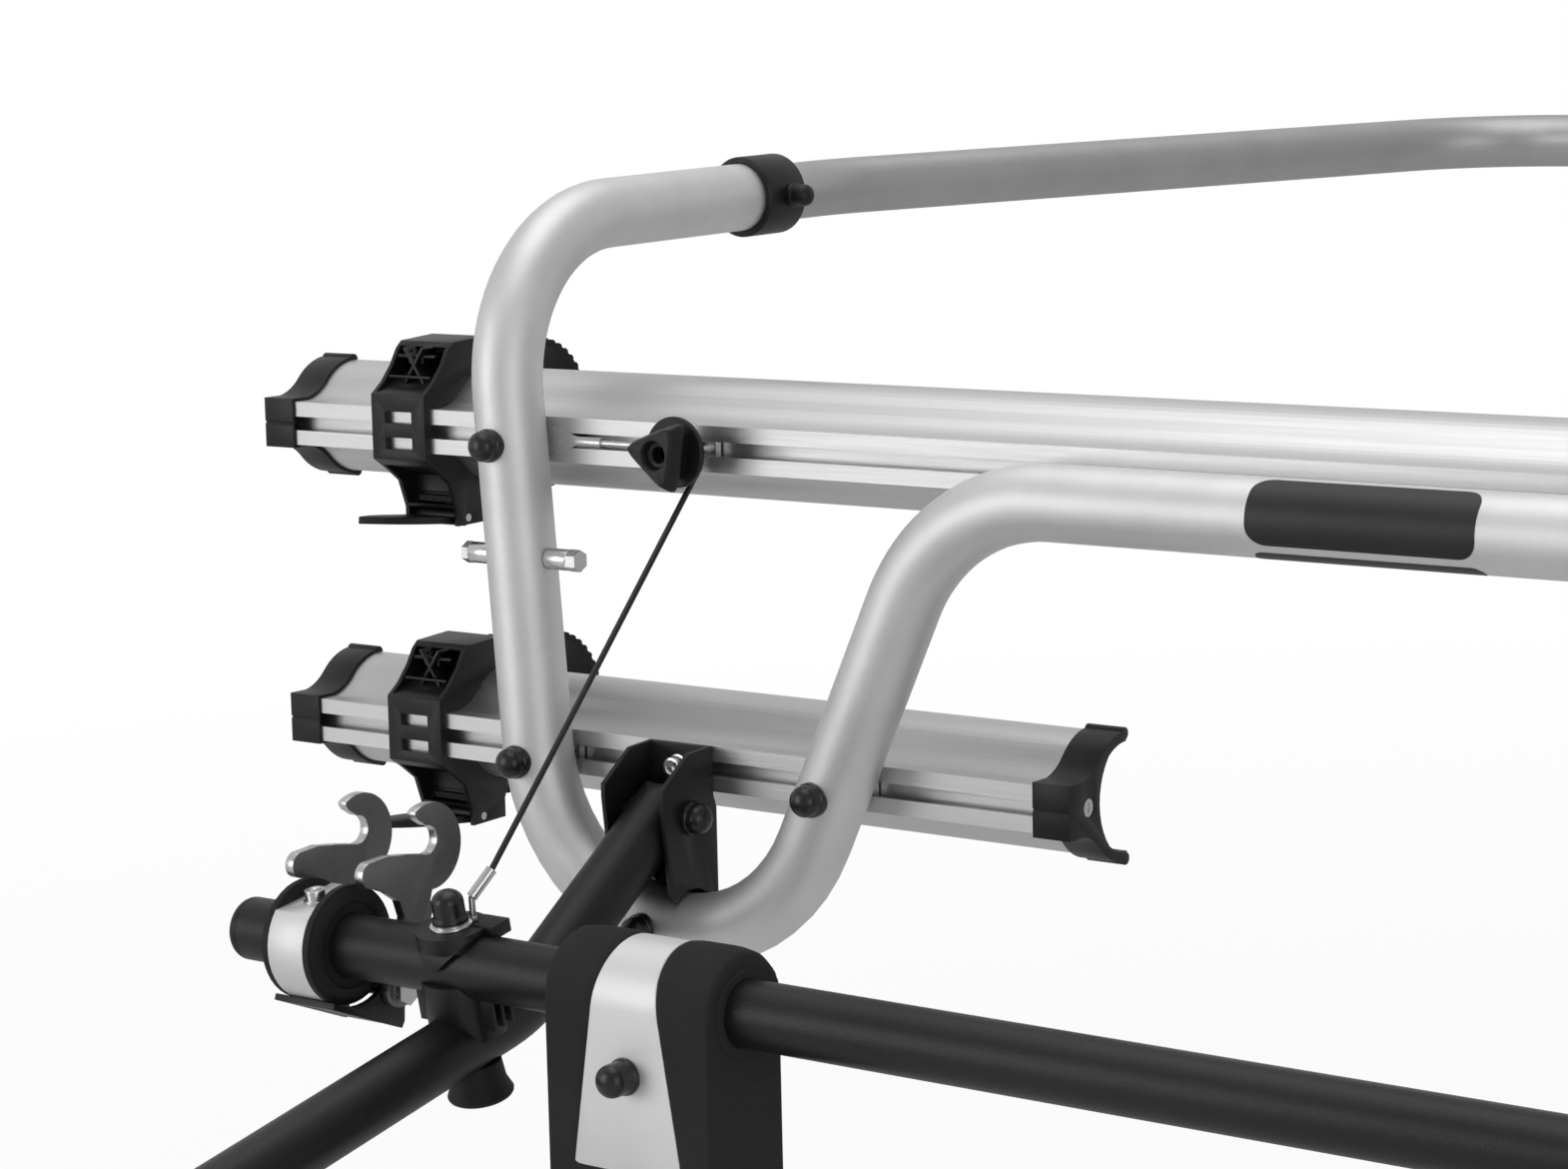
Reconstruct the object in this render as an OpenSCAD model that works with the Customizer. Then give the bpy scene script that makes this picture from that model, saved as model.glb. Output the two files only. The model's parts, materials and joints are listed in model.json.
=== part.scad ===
// Tow bar bike carrier, shown with its tray frame tilted back to the open stop.
// The origin lies midway between the mounting bores of the two arms.
// X runs along the wheel rails, Y runs from the arms' front ends back to the tray frame, Z is up.
// Sections below measure from the line of the latch pins unless a comment says otherwise.
// The right half mirrors the left half, which lies at negative X.

/* [Tubes] */
// Outside diameter of the bent frame tube
frame_od = 35; // [34:0.5:38]
// Wall of the frame tube
frame_wall = 2; // [1.5:0.1:2.4]
// Outside diameter of the drawbar tubes
bar_od = 30; // [28:0.5:32]
// Wall of the drawbar tubes and of the hoop
bar_wall = 2; // [1.5:0.1:2.5]

/* [Tray frame] */
// Height of the latch pins above the mounting bores
set_up = 252.7; // [245:0.1:262]
// Distance from the mounting bores back to the plane of the frame tube
set_back = 420; // [410:1:440]
// Half distance between the legs at the latch pins
leg_half_span = 470.7; // [465:0.1:478]
// Lean of each leg, tops outward
leg_splay = 4; // [3:0.1:5]
// Half distance between the two diagonals at the height of the latch pins
diagonal_half_span = 238.5; // [234:0.5:243]
// Lean of each diagonal from upright
diagonal_lean = 24.65; // [24:0.05:25.5]
// Height of the middle run over the latch pins
middle_run_up = 44.4; // [40:0.1:48]
// Radius of the bends at the foot of each leg and beside the middle run
frame_bend_r = 88.7; // [86:0.1:90]
// Radius of the bend at the top of each leg
top_bend_r = 85; // [70:1:90]
// Height of the top bend's corner over the latch pins
top_corner_up = 161.4; // [155:0.1:175]
// Length of the frame tube's end runs, measured back from the legs
end_run = 197; // [190:1:210]
// Rise of the end runs and of the hoop
hoop_rise = 1.4; // [0.5:0.1:2.5]
// Inward turn of the end runs
end_toe = 2.2; // [1:0.1:3]

/* [Hoop] */
// Radial play of the hoop inside the frame tube
hoop_play = 0.5; // [0.3:0.1:0.7]
// Length of hoop held inside each end run
hoop_grip = 60; // [40:1:80]
// Distance from the legs to the knee of the hoop
hoop_knee_back = 265; // [255:1:285]
// Distance from the legs to the hoop's cross bar
hoop_reach = 660; // [600:5:720]
// Half length of the hoop's cross bar between its corners
hoop_bar_half = 285; // [270:1:300]
// Bend radius of the knees
hoop_knee_r = 120; // [80:5:160]
// Bend radius of the far corners
hoop_corner_r = 85; // [60:5:110]
// Length of each clamping collar
collar_len = 30; // [26:1:36]
// Wall of each collar over the frame tube
collar_wall = 3.5; // [3:0.1:4.5]
// Length of the collar that lies over the frame tube
collar_over = 9.5; // [8:0.5:12]

/* [Wheel rails] */
// Height of the upper rail's centre over the latch pins
upper_rail_up = 56.1; // [54:0.1:58]
// Drop of the lower rails' centre below the latch pins
lower_rail_drop = 99.2; // [97:0.1:101]
// Half length of the upper rail
upper_rail_half = 656.5; // [650:0.5:675]
// Distance from the middle to the outer end of a lower rail
lower_rail_outer = 646.5; // [640:0.5:655]
// Distance from the middle to the inner end of a lower rail
lower_rail_inner = 166.5; // [160:0.5:172]
// Height of the rail's base box
rail_base_h = 22.4; // [20:0.2:24]
// Depth of the rail's base box
rail_base_d = 11; // [10.6:0.2:13]
// Height of the channel between the tips of its wings, outside
rail_h = 58.6; // [55:0.2:62]
// Depth of the rail from its base face to the wing tips
rail_d = 46.8; // [44:0.2:50]
// Wall of the rail
rail_wall = 2; // [1.6:0.1:2.4]
// Width of the T-slot's mouth
slot_w = 7.2; // [6.6:0.1:8]
// Width of the T-slot behind its lips
tee_w = 14; // [13.4:0.1:15]
// Length of the moulded cap on each rail end
cap_len = 20; // [16:1:26]
// Wall of the moulded end cap
cap_wall = 1.6; // [1.2:0.1:2]

/* [Strap holders] */
// Width of a strap holder along the rail
holder_w = 36; // [34:1:40]
// How far in from the upper rail's ends its holders stand
upper_holder_inset = 93.5; // [89:0.5:98]
// How far in from the lower rails' outer ends their holders stand
lower_holder_inset = 87; // [82:0.5:92]
// Wall of the moulded holders
holder_wall = 2.5; // [2:0.1:3]
// Length of the ratchet lever from its pin to its tip
lever_len = 62; // [50:1:70]
// Width of the ladder strap
strap_w = 24; // [20:1:26]
// Thickness of the ladder strap under its rungs
strap_t = 3; // [2:0.1:3.4]
// Pitch of the strap's rungs
rung_pitch = 6; // [5:0.5:8]
// Radius of the strap's loop, outside
strap_loop_r = 40; // [38:0.5:41]
// Distance from the frame plane to the centre of the strap's loop
strap_loop_back = 110; // [95:1:130]

/* [Drawbar frame] */
// Half distance between the two arms
arm_half_span = 388; // [380:1:396]
// Drop of the hinge axis below the latch pins
hinge_drop = 120; // [118:1:122]
// Slope of an arm's upper run
arm_upper_slope = 34; // [32:0.5:36]
// Length of an arm's upper run from hinge to corner
arm_upper_len = 127.2; // [124:0.2:132]
// Bend radius of an arm
arm_bend_r = 80; // [60:5:100]
// Distance along the lower run from its corner to the cross tube
cross_station = 36.3; // [34:0.1:40]
// Gap between the arm and the cross tube, filled by the lower saddle
saddle_gap = 6.3; // [5:0.1:8]
// Half length of the cross tube
cross_half = 515; // [510:1:530]
// Radius of the mounting bores at the arms' front ends
mount_bore_r = 6.1; // [5.1:0.1:8]
// Radius of the hinge bolt
hinge_bolt_r = 4; // [3:0.5:5]
// Radial running gap of the hinge bolt in its bush
hinge_fit = 0.05; // [0.02:0.01:0.1]

/* [Saddles and pads] */
// Radius of the saddle discs
saddle_r = 17; // [15:0.5:19]
// Radius of the saddle bolts and the pad bolts
base_bolt_r = 4; // [3:0.5:5]
// Width of a foam pad
pad_w = 91; // [80:1:100]
// Distance from the middle to a foam pad's centre
pad_x = 269.5; // [262:0.5:276]
// Radius of the pad's arch over the cross tube
pad_arch_r = 28; // [27:0.1:28.4]
// Length of the pad from the cross tube down to its lower edge
pad_drop = 122; // [110:1:135]
// Thickness of the aluminium strap over the pad
pad_strap_t = 2; // [1.5:0.1:2.5]
// Width of the pad strap over the arch
pad_strap_top_w = 27; // [22:1:34]
// Width of the pad strap at its lower ends
pad_strap_low_w = 60; // [50:1:66]

/* [Latches] */
// Radius of the latch pin's spacers
pin_spacer_r = 5.25; // [5:0.05:5.5]
// Length of one latch pin spacer
pin_spacer_len = 13.5; // [12:0.5:15]
// Thickness of a latch claw
claw_t = 5; // [4:0.5:5.5]
// Radius of the slot that takes the latch pin
claw_slot_r = 7; // [6.8:0.1:7.5]
// Radius of the claw's head
claw_head_r = 20.8; // [20:0.1:22]
// Outside radius of the rubber clamp ring
ring_r = 28.3; // [27.5:0.1:28.5]
// Width of the rubber clamp ring
ring_w = 29.5; // [26:0.5:32]
// Thickness of the aluminium clamp band
band_t = 1.5; // [1:0.1:2]
// Width of the aluminium clamp band
band_w = 22; // [18:1:24]

/* [Stay wires and knobs] */
// Diameter of the coated stay wire
wire_d = 3; // [2.5:0.1:3.5]
// Radius over the lobes of the clamp knob
knob_r = 18; // [16:0.5:18.5]
// Depth of the clamp knob
knob_d = 15; // [12:0.5:16]

/* [Hidden] */
$fn = 48;
fine = 96;
eps = 0.01;
play = 0.3;
fit_gap = 0.05;
bend_past = 1;
bend_thinning = 0.04;

// Rail bolts, their caps and the nuts in the T-slots
rail_bolt_r = 3;
bolt_hole_r = rail_bolt_r + play;
cap_r = 8.5;
cap_h = 11;
tee_nut_d = 4;
tee_nut_l = 16;
rail_seat = frame_od / 2 + 0.7;
slot_lip = 2.4;
tee_d = 6;
tee_mid = rail_seat + slot_lip + tee_d / 2;

// Lines of the frame tube seen from the front
leg_slope = tan(leg_splay);
diagonal_slope = tan(diagonal_lean);
foot_z = -(leg_half_span - diagonal_half_span) / (leg_slope + diagonal_slope);
rise_slope = tan(hoop_rise);
toe_slope = tan(end_toe);
function leg_x(z) = -leg_half_span - leg_slope * z;
function diagonal_x(z) = -diagonal_half_span + diagonal_slope * z;
function end_run_x(y) = leg_x(top_corner_up) + toe_slope * y;
function end_run_z(y) = top_corner_up + rise_slope * y;

// Hinge, arm and cross tube in the plane across the arms, as [y, z]
hinge_z = -hinge_drop;
arm_corner = [-arm_upper_len * cos(arm_upper_slope), hinge_z - arm_upper_len * sin(arm_upper_slope)];
mount_point = [-set_back, -set_up];
arm_run = (mount_point - arm_corner) / norm(mount_point - arm_corner);
stack_dir = [arm_run[1], -arm_run[0]];
stack_tilt = atan2(-stack_dir[0], stack_dir[1]);
arm_drop = bar_od + saddle_gap;
cross_at = arm_corner + cross_station * arm_run + arm_drop * stack_dir;
bar_r = bar_od / 2;
arm_bush_r = hinge_bolt_r + 4;
mount_bush_r = mount_bore_r + 3.5;
arm_end_past = 22;

// Saddle stack, measured from the cross tube's axis along the bolt
saddle_top = bar_r + 3.5;
washer_t = 1.5;
eye_t = 1.2;
foot_top = -arm_drop - bar_r;
foot_h = 15;
bolt_head_h = 5.5;
base_cap_base = saddle_top + washer_t + eye_t;
base_cap_h = 15;
base_cap_r = 8.5;

// Foam pad
strap_recess = 3;
pad_core_r = pad_arch_r - strap_recess;
pad_grip = 2 * (pad_core_r + pad_strap_t);
pad_bolt_drop = 28.5;
pad_strap_drop = 68;
pad_bore_gap = 0.2;
pad_bore_flare = 4;

// Strap holders stand a set way in from the rails' outer ends
upper_holder_x = upper_rail_half - upper_holder_inset;
lower_holder_x = lower_rail_outer - lower_holder_inset;

// Latch clamp on the cross tube, with x measured from the middle of the machine
ring_x = -(leg_half_span - 1.05);
band_flat = 20.8;
band_flat_tilt = 8.3;
band_bore = ring_r - band_t;
bracket_t = 3;
bracket_w = 38.6;
bracket_slope = 22;
claw_pivot = [-125, -187];
claw_pivot_r = 9;
claw_gap = 0.35;
sleeve_r = 5;
pivot_bolt_r = 4;
claw_inner = bracket_w / 2 + claw_gap;
claw_head = [24, 63.5];
claw_slot = [21.1, 67];

// Latch pin through each leg
pin_r = 3;
pin_nut_r = 5.5;
pin_nut_t = 6;
spacer_gap = 0.45;

// Hinge bracket, folded from sheet, with its plates either side of the arm
bracket_wall = 2.5;
hinge_side_gap = 1.6;
hinge_plate_in = bar_r + hinge_side_gap;
hinge_plate_out = hinge_plate_in + bracket_wall;
web_y = rail_seat - play;
tab_y = frame_od / 2 + 0.1;
hinge_nose_r = bar_r;

// Strap holders, with z measured from the rail's centre
holder_front = rail_seat - 4;
strap_start = 54;
strap_end = 41;
rung_h = 1;
lever_pin = [45.1, -46.8];
lever_pin_r = 2;
lever_barrel_r = 4.5;
lever_t = 3.5;
lever_rise = 6;
housing_back = 62;

// Stay wire: points from the knob's bolt down to the lower crimp
wire_r = wire_d / 2;
stay_points = [
  [-369.8, 15, 47.5], [-371.3, -22, 6.5], [-372.8, -59.5, -35], [-374.4, -98, -77.5], [-376, -136.6, -119.6]
];
knob_x = -373;
knob_face = rail_seat - 16;
knob_neck = 10;
knob_neck_r = 7.8;
crimp_r = 2.6;
crimp_end = [-380, -146.3, -131];
eye_r = 8.5;

// Places what is measured from the line of the latch pins
module from_pins() {
  translate([0, set_back, set_up]) children();
}

module mirrored() {
  mirror([1, 0, 0]) children();
}

module both_sides() {
  children();
  mirrored() children();
}

// Extrudes a [y, z] outline along X, starting at x0
module along_x(x0, length) {
  translate([x0, 0, 0]) rotate([90, 0, 90]) linear_extrude(length) children();
}

// A round bar or hole along X or Y, centred on a point
module bar_x(at, r, length) {
  translate(at) rotate([0, 90, 0]) cylinder(r = r, h = length, center = true);
}

module bar_y(at, r, length) {
  translate(at) rotate([90, 0, 0]) cylinder(r = r, h = length, center = true);
}

module ring(r_out, r_in) {
  difference() {
    circle(r = r_out);
    circle(r = r_in);
  }
}

function unit(v) = v / norm(v);
function arc(centre, r, from, to, steps) =
  [for (i = [0 : steps]) let (a = from + (to - from) * i / steps) centre + r * [cos(a), sin(a)]];

// Bent tube: straight runs and true arcs through corner points, one radius a corner
function turn(a, b, c) = acos(unit(b - a) * unit(c - b));
function setback(points, radii, i) =
  (i == 0 || i == len(points) - 1) ? 0
  : radii[i] * tan(turn(points[i - 1], points[i], points[i + 1]) / 2);

module straight_run(a, b) {
  d = b - a;
  translate(a) rotate([0, acos(d[2] / norm(d)), atan2(d[1], d[0])]) linear_extrude(norm(d)) children();
}

module bend(a, b, c, r, past = bend_past) {
  u = unit(b - a);
  v = unit(c - b);
  angle = turn(a, b, c);
  centre = b + r / cos(angle / 2) * unit(v - u);
  ex = unit(b - u * r * tan(angle / 2) - centre);
  ez = cross(ex, u);
  lean = acos(ez[2]);
  way = atan2(ez[1], ez[0]);
  x_leaned = [cos(lean) * cos(way), cos(lean) * sin(way), -sin(lean)];
  y_leaned = [-sin(way), cos(way), 0];
  translate(centre) rotate([0, lean, way]) rotate(atan2(ex * y_leaned, ex * x_leaned) - past)
    rotate_extrude(angle = angle + 2 * past, $fn = fine) translate([r, 0]) children();
}

// Solid bar through the points, its ends carried past by past, its bends a hair slimmer than its runs
module bent_bar(points, radii, r, past) {
  last = len(points) - 1;
  for (i = [0 : last - 1]) {
    way = unit(points[i + 1] - points[i]);
    from = i == 0 ? -past : setback(points, radii, i);
    to = i == last - 1 ? -past : setback(points, radii, i + 1);
    straight_run(points[i] + way * from, points[i + 1] - way * to) circle(r = r);
  }
  for (i = [1 : last - 1])
    bend(points[i - 1], points[i], points[i + 1], radii[i]) circle(r = r - bend_thinning);
}

module bent_tube(points, radii, r_out, r_in) {
  difference() {
    bent_bar(points, radii, r_out, 0);
    bent_bar(points, radii, r_in, 1);
  }
}

// Dome cap over a nut, seated on z = 0 with its dome up and its skirt below
module dome_cap(r, h, bore_r, bore_h, skirt = 0) {
  difference() {
    rotate_extrude() {
      polygon(concat([[0, -skirt], [r, -skirt], [r * 0.96, 2], [r * 0.88, 2.6], [r * 0.88, h - r * 0.7]],
                     [for (a = [10 : 10 : 90]) [r * 0.88 * cos(a), h - r * 0.7 + r * 0.7 * sin(a)]]));
    }
    translate([0, 0, -skirt - eps]) cylinder(r = bore_r, h = bore_h + skirt);
  }
}

// Hexagon head or nut on z = 0, across its corners 2 r
module hexagon(r, h) {
  cylinder(r = r, h = h, $fn = 6);
}

// Drawbar frame

module at_cross(x) {
  translate([x, cross_at[0], cross_at[1]]) rotate([stack_tilt, 0, 0]) children();
}

module cross_tube() color([0.1, 0.1, 0.1]) from_pins() difference() {
  translate([-cross_half, cross_at[0], cross_at[1]]) rotate([0, 90, 0])
    linear_extrude(2 * cross_half) ring(bar_r, bar_r - bar_wall);
  both_sides() at_cross(-arm_half_span) cylinder(r = base_bolt_r + 0.2, h = 2 * bar_od, center = true);
}

// Plug with a rounded head, its seat on z = 0 and its head up
module end_cap() {
  head_t = 6;
  plug_l = 12;
  rotate_extrude() polygon(concat(
    [[0, -plug_l], [bar_r - bar_wall - fit_gap, -plug_l], [bar_r - bar_wall - fit_gap, 0], [bar_r, 0]],
    arc([bar_r - 4, head_t - 4], 4, 0, 90, 6), [[0, head_t]]));
}

module tube_end_caps() color([0.06, 0.06, 0.06]) from_pins() both_sides() {
  translate([-cross_half, cross_at[0], cross_at[1]]) rotate([0, -90, 0]) end_cap();
  arm_tip = mount_point + arm_end_past * arm_run;
  translate([-arm_half_span, arm_tip[0], arm_tip[1]])
    rotate([90 - atan2(arm_run[1], -arm_run[0]), 0, 0]) end_cap();
}

// One arm: bent tube with welded bushes for the hinge bolt and the mounting bolt
module arm() {
  x = -arm_half_span;
  nose = [hinge_nose_r * cos(arm_upper_slope), hinge_nose_r * sin(arm_upper_slope)];
  tip = mount_point + arm_end_past * arm_run;
  difference() {
    union() {
      difference() {
        bent_tube([[x, nose[0], hinge_z + nose[1]], [x, arm_corner[0], arm_corner[1]], [x, tip[0], tip[1]]],
                  [0, arm_bend_r, 0], bar_r, bar_r - bar_wall);
        translate([x, 0, hinge_z]) rotate([arm_upper_slope, 0, 0]) arm_nose_cut();
      }
      bar_x([x, 0, hinge_z], arm_bush_r, bar_od);
      bar_x([x, mount_point[0], mount_point[1]], mount_bush_r, bar_od);
    }
    bar_x([x, 0, hinge_z], hinge_bolt_r + hinge_fit, 2 * bar_od);
    bar_x([x, mount_point[0], mount_point[1]], mount_bore_r, 2 * bar_od);
    at_cross(x) translate([0, 0, -arm_drop]) cylinder(r = base_bolt_r + 0.2, h = 2 * bar_od, center = true);
  }
}

// Rounds the arm's nose about the hinge, so that it turns inside the bracket
module arm_nose_cut() {
  translate([-bar_od, 0, -bar_od]) difference() {
    cube([2 * bar_od, bar_od, 2 * bar_od]);
    bar_x([bar_od, 0, bar_od], hinge_nose_r, 3 * bar_od);
  }
}

module left_arm() color([0.1, 0.1, 0.1]) from_pins() arm();
module right_arm() color([0.1, 0.1, 0.1]) from_pins() mirrored() arm();

// Upper saddle: a disc with a skirt that comes to a point on the tube, and a lug beside the wire eye
module upper_saddle() {
  skirt_low = 3;
  lug_low = bar_r - 2;
  lug_top = saddle_top + washer_t - 0.8;
  difference() {
    union() {
      translate([0, 0, bar_r - 4]) cylinder(r = saddle_r, h = saddle_top - bar_r + 4);
      intersection() {
        rotate([90, 0, 0]) linear_extrude(2 * saddle_r, center = true)
          polygon([[-saddle_r, saddle_top - 2], [saddle_r, saddle_top - 2], [2, skirt_low], [-2, skirt_low]]);
        bar_x([0, 0, 0], bar_r + 2.6, 2 * saddle_r);
      }
      translate([saddle_r - 10, 3, lug_low]) cube([15, 12, lug_top - lug_low]);
    }
    bar_x([0, 0, 0], bar_r, 4 * saddle_r);
    cylinder(r = base_bolt_r + 0.2, h = 3 * bar_od, center = true);
    translate([0, 0, saddle_top]) cylinder(r = 10.5, h = bar_od);
  }
}

// Lower saddle between the cross tube and the arm, hollowed to fit both, with ribs at its sides
module lower_saddle() {
  r = saddle_r + 1;
  difference() {
    union() {
      translate([0, 0, -arm_drop + 3]) cylinder(r = r, h = arm_drop - 8);
      for (side = [-1, 1], rib = [-1, 0, 1])
        translate([side * (r + 1.5), rib * 6, -arm_drop / 2]) cube([6, 2, bar_r + 4], center = true);
    }
    bar_x([0, 0, 0], bar_r, 4 * r);
    bar_y([0, 0, -arm_drop], bar_r, 4 * r);
    cylinder(r = base_bolt_r + 0.2, h = 3 * bar_od, center = true);
  }
}

// Flared rubber foot under the arm, hollowed to fit it and recessed for the bolt head
module saddle_foot() {
  difference() {
    translate([0, 0, foot_top - foot_h]) rotate_extrude() polygon(concat(
      [[0, 0]], arc([13, 2.5], 2.5, -90, 0, 4), [[13, 8], [12, foot_h + 3], [0, foot_h + 3]]));
    bar_y([0, 0, -arm_drop], bar_r, 3 * bar_od);
    cylinder(r = base_bolt_r + 0.2, h = 6 * bar_od, center = true);
    translate([0, 0, foot_top - foot_h - eps]) cylinder(r = 8, h = bolt_head_h + 1.5);
  }
}

module upper_saddles() color([0.06, 0.06, 0.06]) from_pins() both_sides() at_cross(-arm_half_span) upper_saddle();
module lower_saddles() color([0.06, 0.06, 0.06]) from_pins() both_sides() at_cross(-arm_half_span) lower_saddle();
module saddle_feet() color([0.05, 0.05, 0.05]) from_pins() both_sides() at_cross(-arm_half_span) saddle_foot();

// Saddle bolts stand in the stacks, pad bolts run front to back under the cross tube
module base_bolts() color([0.7, 0.7, 0.7]) from_pins() both_sides() {
  seat = foot_top - foot_h + bolt_head_h + 1.5;
  at_cross(-arm_half_span) {
    translate([0, 0, seat]) cylinder(r = base_bolt_r, h = base_cap_base + 8 - seat);
    translate([0, 0, seat - bolt_head_h]) hexagon(7, bolt_head_h);
  }
  at_pad_bolt() {
    translate([0, 0, -pad_grip]) cylinder(r = base_bolt_r, h = pad_grip + 8);
    translate([0, 0, -pad_grip - bolt_head_h]) hexagon(7, bolt_head_h);
  }
}

module saddle_washers() color([0.72, 0.72, 0.72]) from_pins() both_sides() at_cross(-arm_half_span)
  translate([0, 0, saddle_top]) linear_extrude(washer_t) ring(10, base_bolt_r + 0.2);

module base_cap_nuts() color([0.06, 0.06, 0.06]) from_pins() both_sides() {
  at_cross(-arm_half_span) translate([0, 0, base_cap_base])
    dome_cap(base_cap_r, base_cap_h, base_bolt_r, 8);
  at_pad_bolt() dome_cap(base_cap_r, base_cap_h, base_bolt_r, 8);
}

// The strap's front face at the pad bolt, with z pointing forward
module at_pad_bolt() {
  translate([-pad_x, cross_at[0] - pad_core_r - pad_strap_t, cross_at[1] - pad_bolt_drop])
    rotate([90, 0, 0]) children();
}

// Outline of an arch with straight sides, as [y, z] about the cross tube
module arch(r, drop) {
  circle(r = r);
  translate([-r, -drop]) square([2 * r, drop]);
}

// Widening strip between the pad's two ridges, seen from the front
module strap_strip(grow, low) {
  top = pad_strap_top_w / 2 + grow;
  low_half = top + (pad_strap_low_w - pad_strap_top_w) / 2 * (pad_arch_r + low) / (pad_arch_r + pad_strap_drop);
  rotate([90, 0, 0]) linear_extrude(3 * pad_arch_r, center = true)
    polygon([[-top, pad_arch_r + 2], [top, pad_arch_r + 2], [low_half, -low], [-low_half, -low]]);
}

module foam_pad() {
  translate([-pad_x, cross_at[0], cross_at[1]]) difference() {
    union() {
      along_x(-pad_w / 2, pad_w) arch(pad_core_r, pad_drop);
      difference() {
        along_x(-pad_w / 2, pad_w) arch(pad_arch_r, pad_drop);
        strap_strip(0.5, pad_strap_drop + 4);
      }
    }
    bar_x([0, 0, 0], bar_r + pad_bore_gap, 2 * pad_w);
    for (side = [-1, 1])
      translate([side * pad_w / 2, 0, 0]) rotate([0, -side * 90, 0])
        translate([0, 0, -eps]) cylinder(r1 = bar_r + pad_bore_flare, r2 = bar_r, h = pad_bore_flare, $fn = fine);
    translate([0, 0, -pad_bolt_drop]) rotate([90, 0, 0])
      cylinder(r = base_bolt_r + play, h = 4 * pad_arch_r, center = true);
  }
}

module left_foam_pad() color([0.09, 0.09, 0.09]) from_pins() foam_pad();
module right_foam_pad() color([0.09, 0.09, 0.09]) from_pins() mirrored() foam_pad();

module pad_straps() color([0.75, 0.75, 0.76]) from_pins() both_sides()
  translate([-pad_x, cross_at[0], cross_at[1]]) difference() {
    intersection() {
      along_x(-pad_strap_low_w, 2 * pad_strap_low_w) difference() {
        arch(pad_core_r + pad_strap_t, pad_strap_drop);
        arch(pad_core_r, pad_strap_drop + 1);
      }
      strap_strip(0, pad_strap_drop);
    }
    translate([0, 0, -pad_bolt_drop]) rotate([90, 0, 0])
      cylinder(r = base_bolt_r + play, h = 4 * pad_arch_r, center = true);
  }

// Latch clamps and claws

// Outline of the clamp band: a circle with one flat stretch on top
module band_outline(r, flat) {
  intersection() {
    circle(r = r, $fn = fine);
    rotate(band_flat_tilt) translate([-2 * r, -3 * r]) square([4 * r, 3 * r + flat]);
  }
}

module at_ring() {
  translate([ring_x, cross_at[0], cross_at[1]]) children();
}

module clamp_rings() color([0.05, 0.05, 0.05]) from_pins() both_sides() at_ring() difference() {
  along_x(-ring_w / 2, ring_w) circle(r = ring_r, $fn = fine);
  bar_x([0, 0, 0], bar_r, 2 * ring_w);
  along_x(-band_w / 2, band_w) difference() {
    circle(r = 2 * ring_r);
    band_outline(band_bore, band_flat - band_t);
  }
}

module clamp_bands() color([0.75, 0.75, 0.76]) from_pins() both_sides() at_ring() difference() {
  along_x(-band_w / 2, band_w) difference() {
    band_outline(ring_r, band_flat);
    band_outline(band_bore, band_flat - band_t);
  }
  at_band_screw() cylinder(r = pin_r + play, h = 4 * band_t, center = true);
}

// Seat of the clamp screw on the band's flat
module at_band_screw() {
  rotate([band_flat_tilt, 0, 0]) translate([0, -3, band_flat]) children();
}

module clamp_screws() color([0.75, 0.75, 0.75]) from_pins() both_sides() at_ring() at_band_screw() {
  translate([0, 0, -band_t]) cylinder(r = pin_r, h = band_t + 1);
  linear_extrude(1) ring(6, pin_r);
  translate([0, 0, 1]) difference() {
    cylinder(r = 5, h = 5);
    translate([0, 0, 2]) hexagon(2.9, 5);
  }
}

// Folded sheet bracket: its bottom plate lies against the band, its cheeks carry the claws' sleeve
module bracket_cheek() {
  touch = [-ring_r * sin(bracket_slope), -ring_r * cos(bracket_slope)];
  rel = claw_pivot - cross_at;
  difference() {
    union() {
      translate(rel) circle(r = claw_pivot_r);
      polygon([touch + [-5, 1], touch + [-6, -1], rel + [5, -21], rel + [7, -18], rel + [8, -3], rel + [0, 8],
               rel + [-12, 4]]);
    }
    circle(r = ring_r + play);
  }
}

module latch_brackets() color([0.08, 0.08, 0.08]) from_pins() both_sides() at_ring() difference() {
  union() {
    for (x = [-bracket_w / 2, bracket_w / 2 - bracket_t]) along_x(x, bracket_t) bracket_cheek();
    rotate([-bracket_slope, 0, 0]) translate([-bracket_w / 2 + 0.5, -6, -ring_r - bracket_t - 0.05])
      cube([bracket_w - 1, 47, bracket_t]);
  }
  bar_x([0, claw_pivot[0] - cross_at[0], claw_pivot[1] - cross_at[1]], sleeve_r + fit_gap, 2 * bracket_w);
}

module at_pivot(x) {
  translate([ring_x + x, claw_pivot[0], claw_pivot[1]]) children();
}

module latch_pivot_bolts() color([0.7, 0.7, 0.7]) from_pins() both_sides() {
  grip = claw_inner + claw_t + play;
  at_pivot(0) bar_x([0, 0, 0], pivot_bolt_r, 2 * grip + 10);
  at_pivot(grip) rotate([0, 90, 0]) hexagon(7.5, 5);
  at_pivot(-grip) rotate([0, -90, 0]) hexagon(7.5, 5);
}

module latch_sleeve() at_pivot(0) rotate([0, 90, 0])
  linear_extrude(2 * (claw_inner + claw_t), center = true) ring(sleeve_r, pivot_bolt_r + fit_gap);

module left_latch_sleeve() color([0.7, 0.7, 0.7]) from_pins() latch_sleeve();
module right_latch_sleeve() color([0.7, 0.7, 0.7]) from_pins() mirrored() latch_sleeve();

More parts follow.
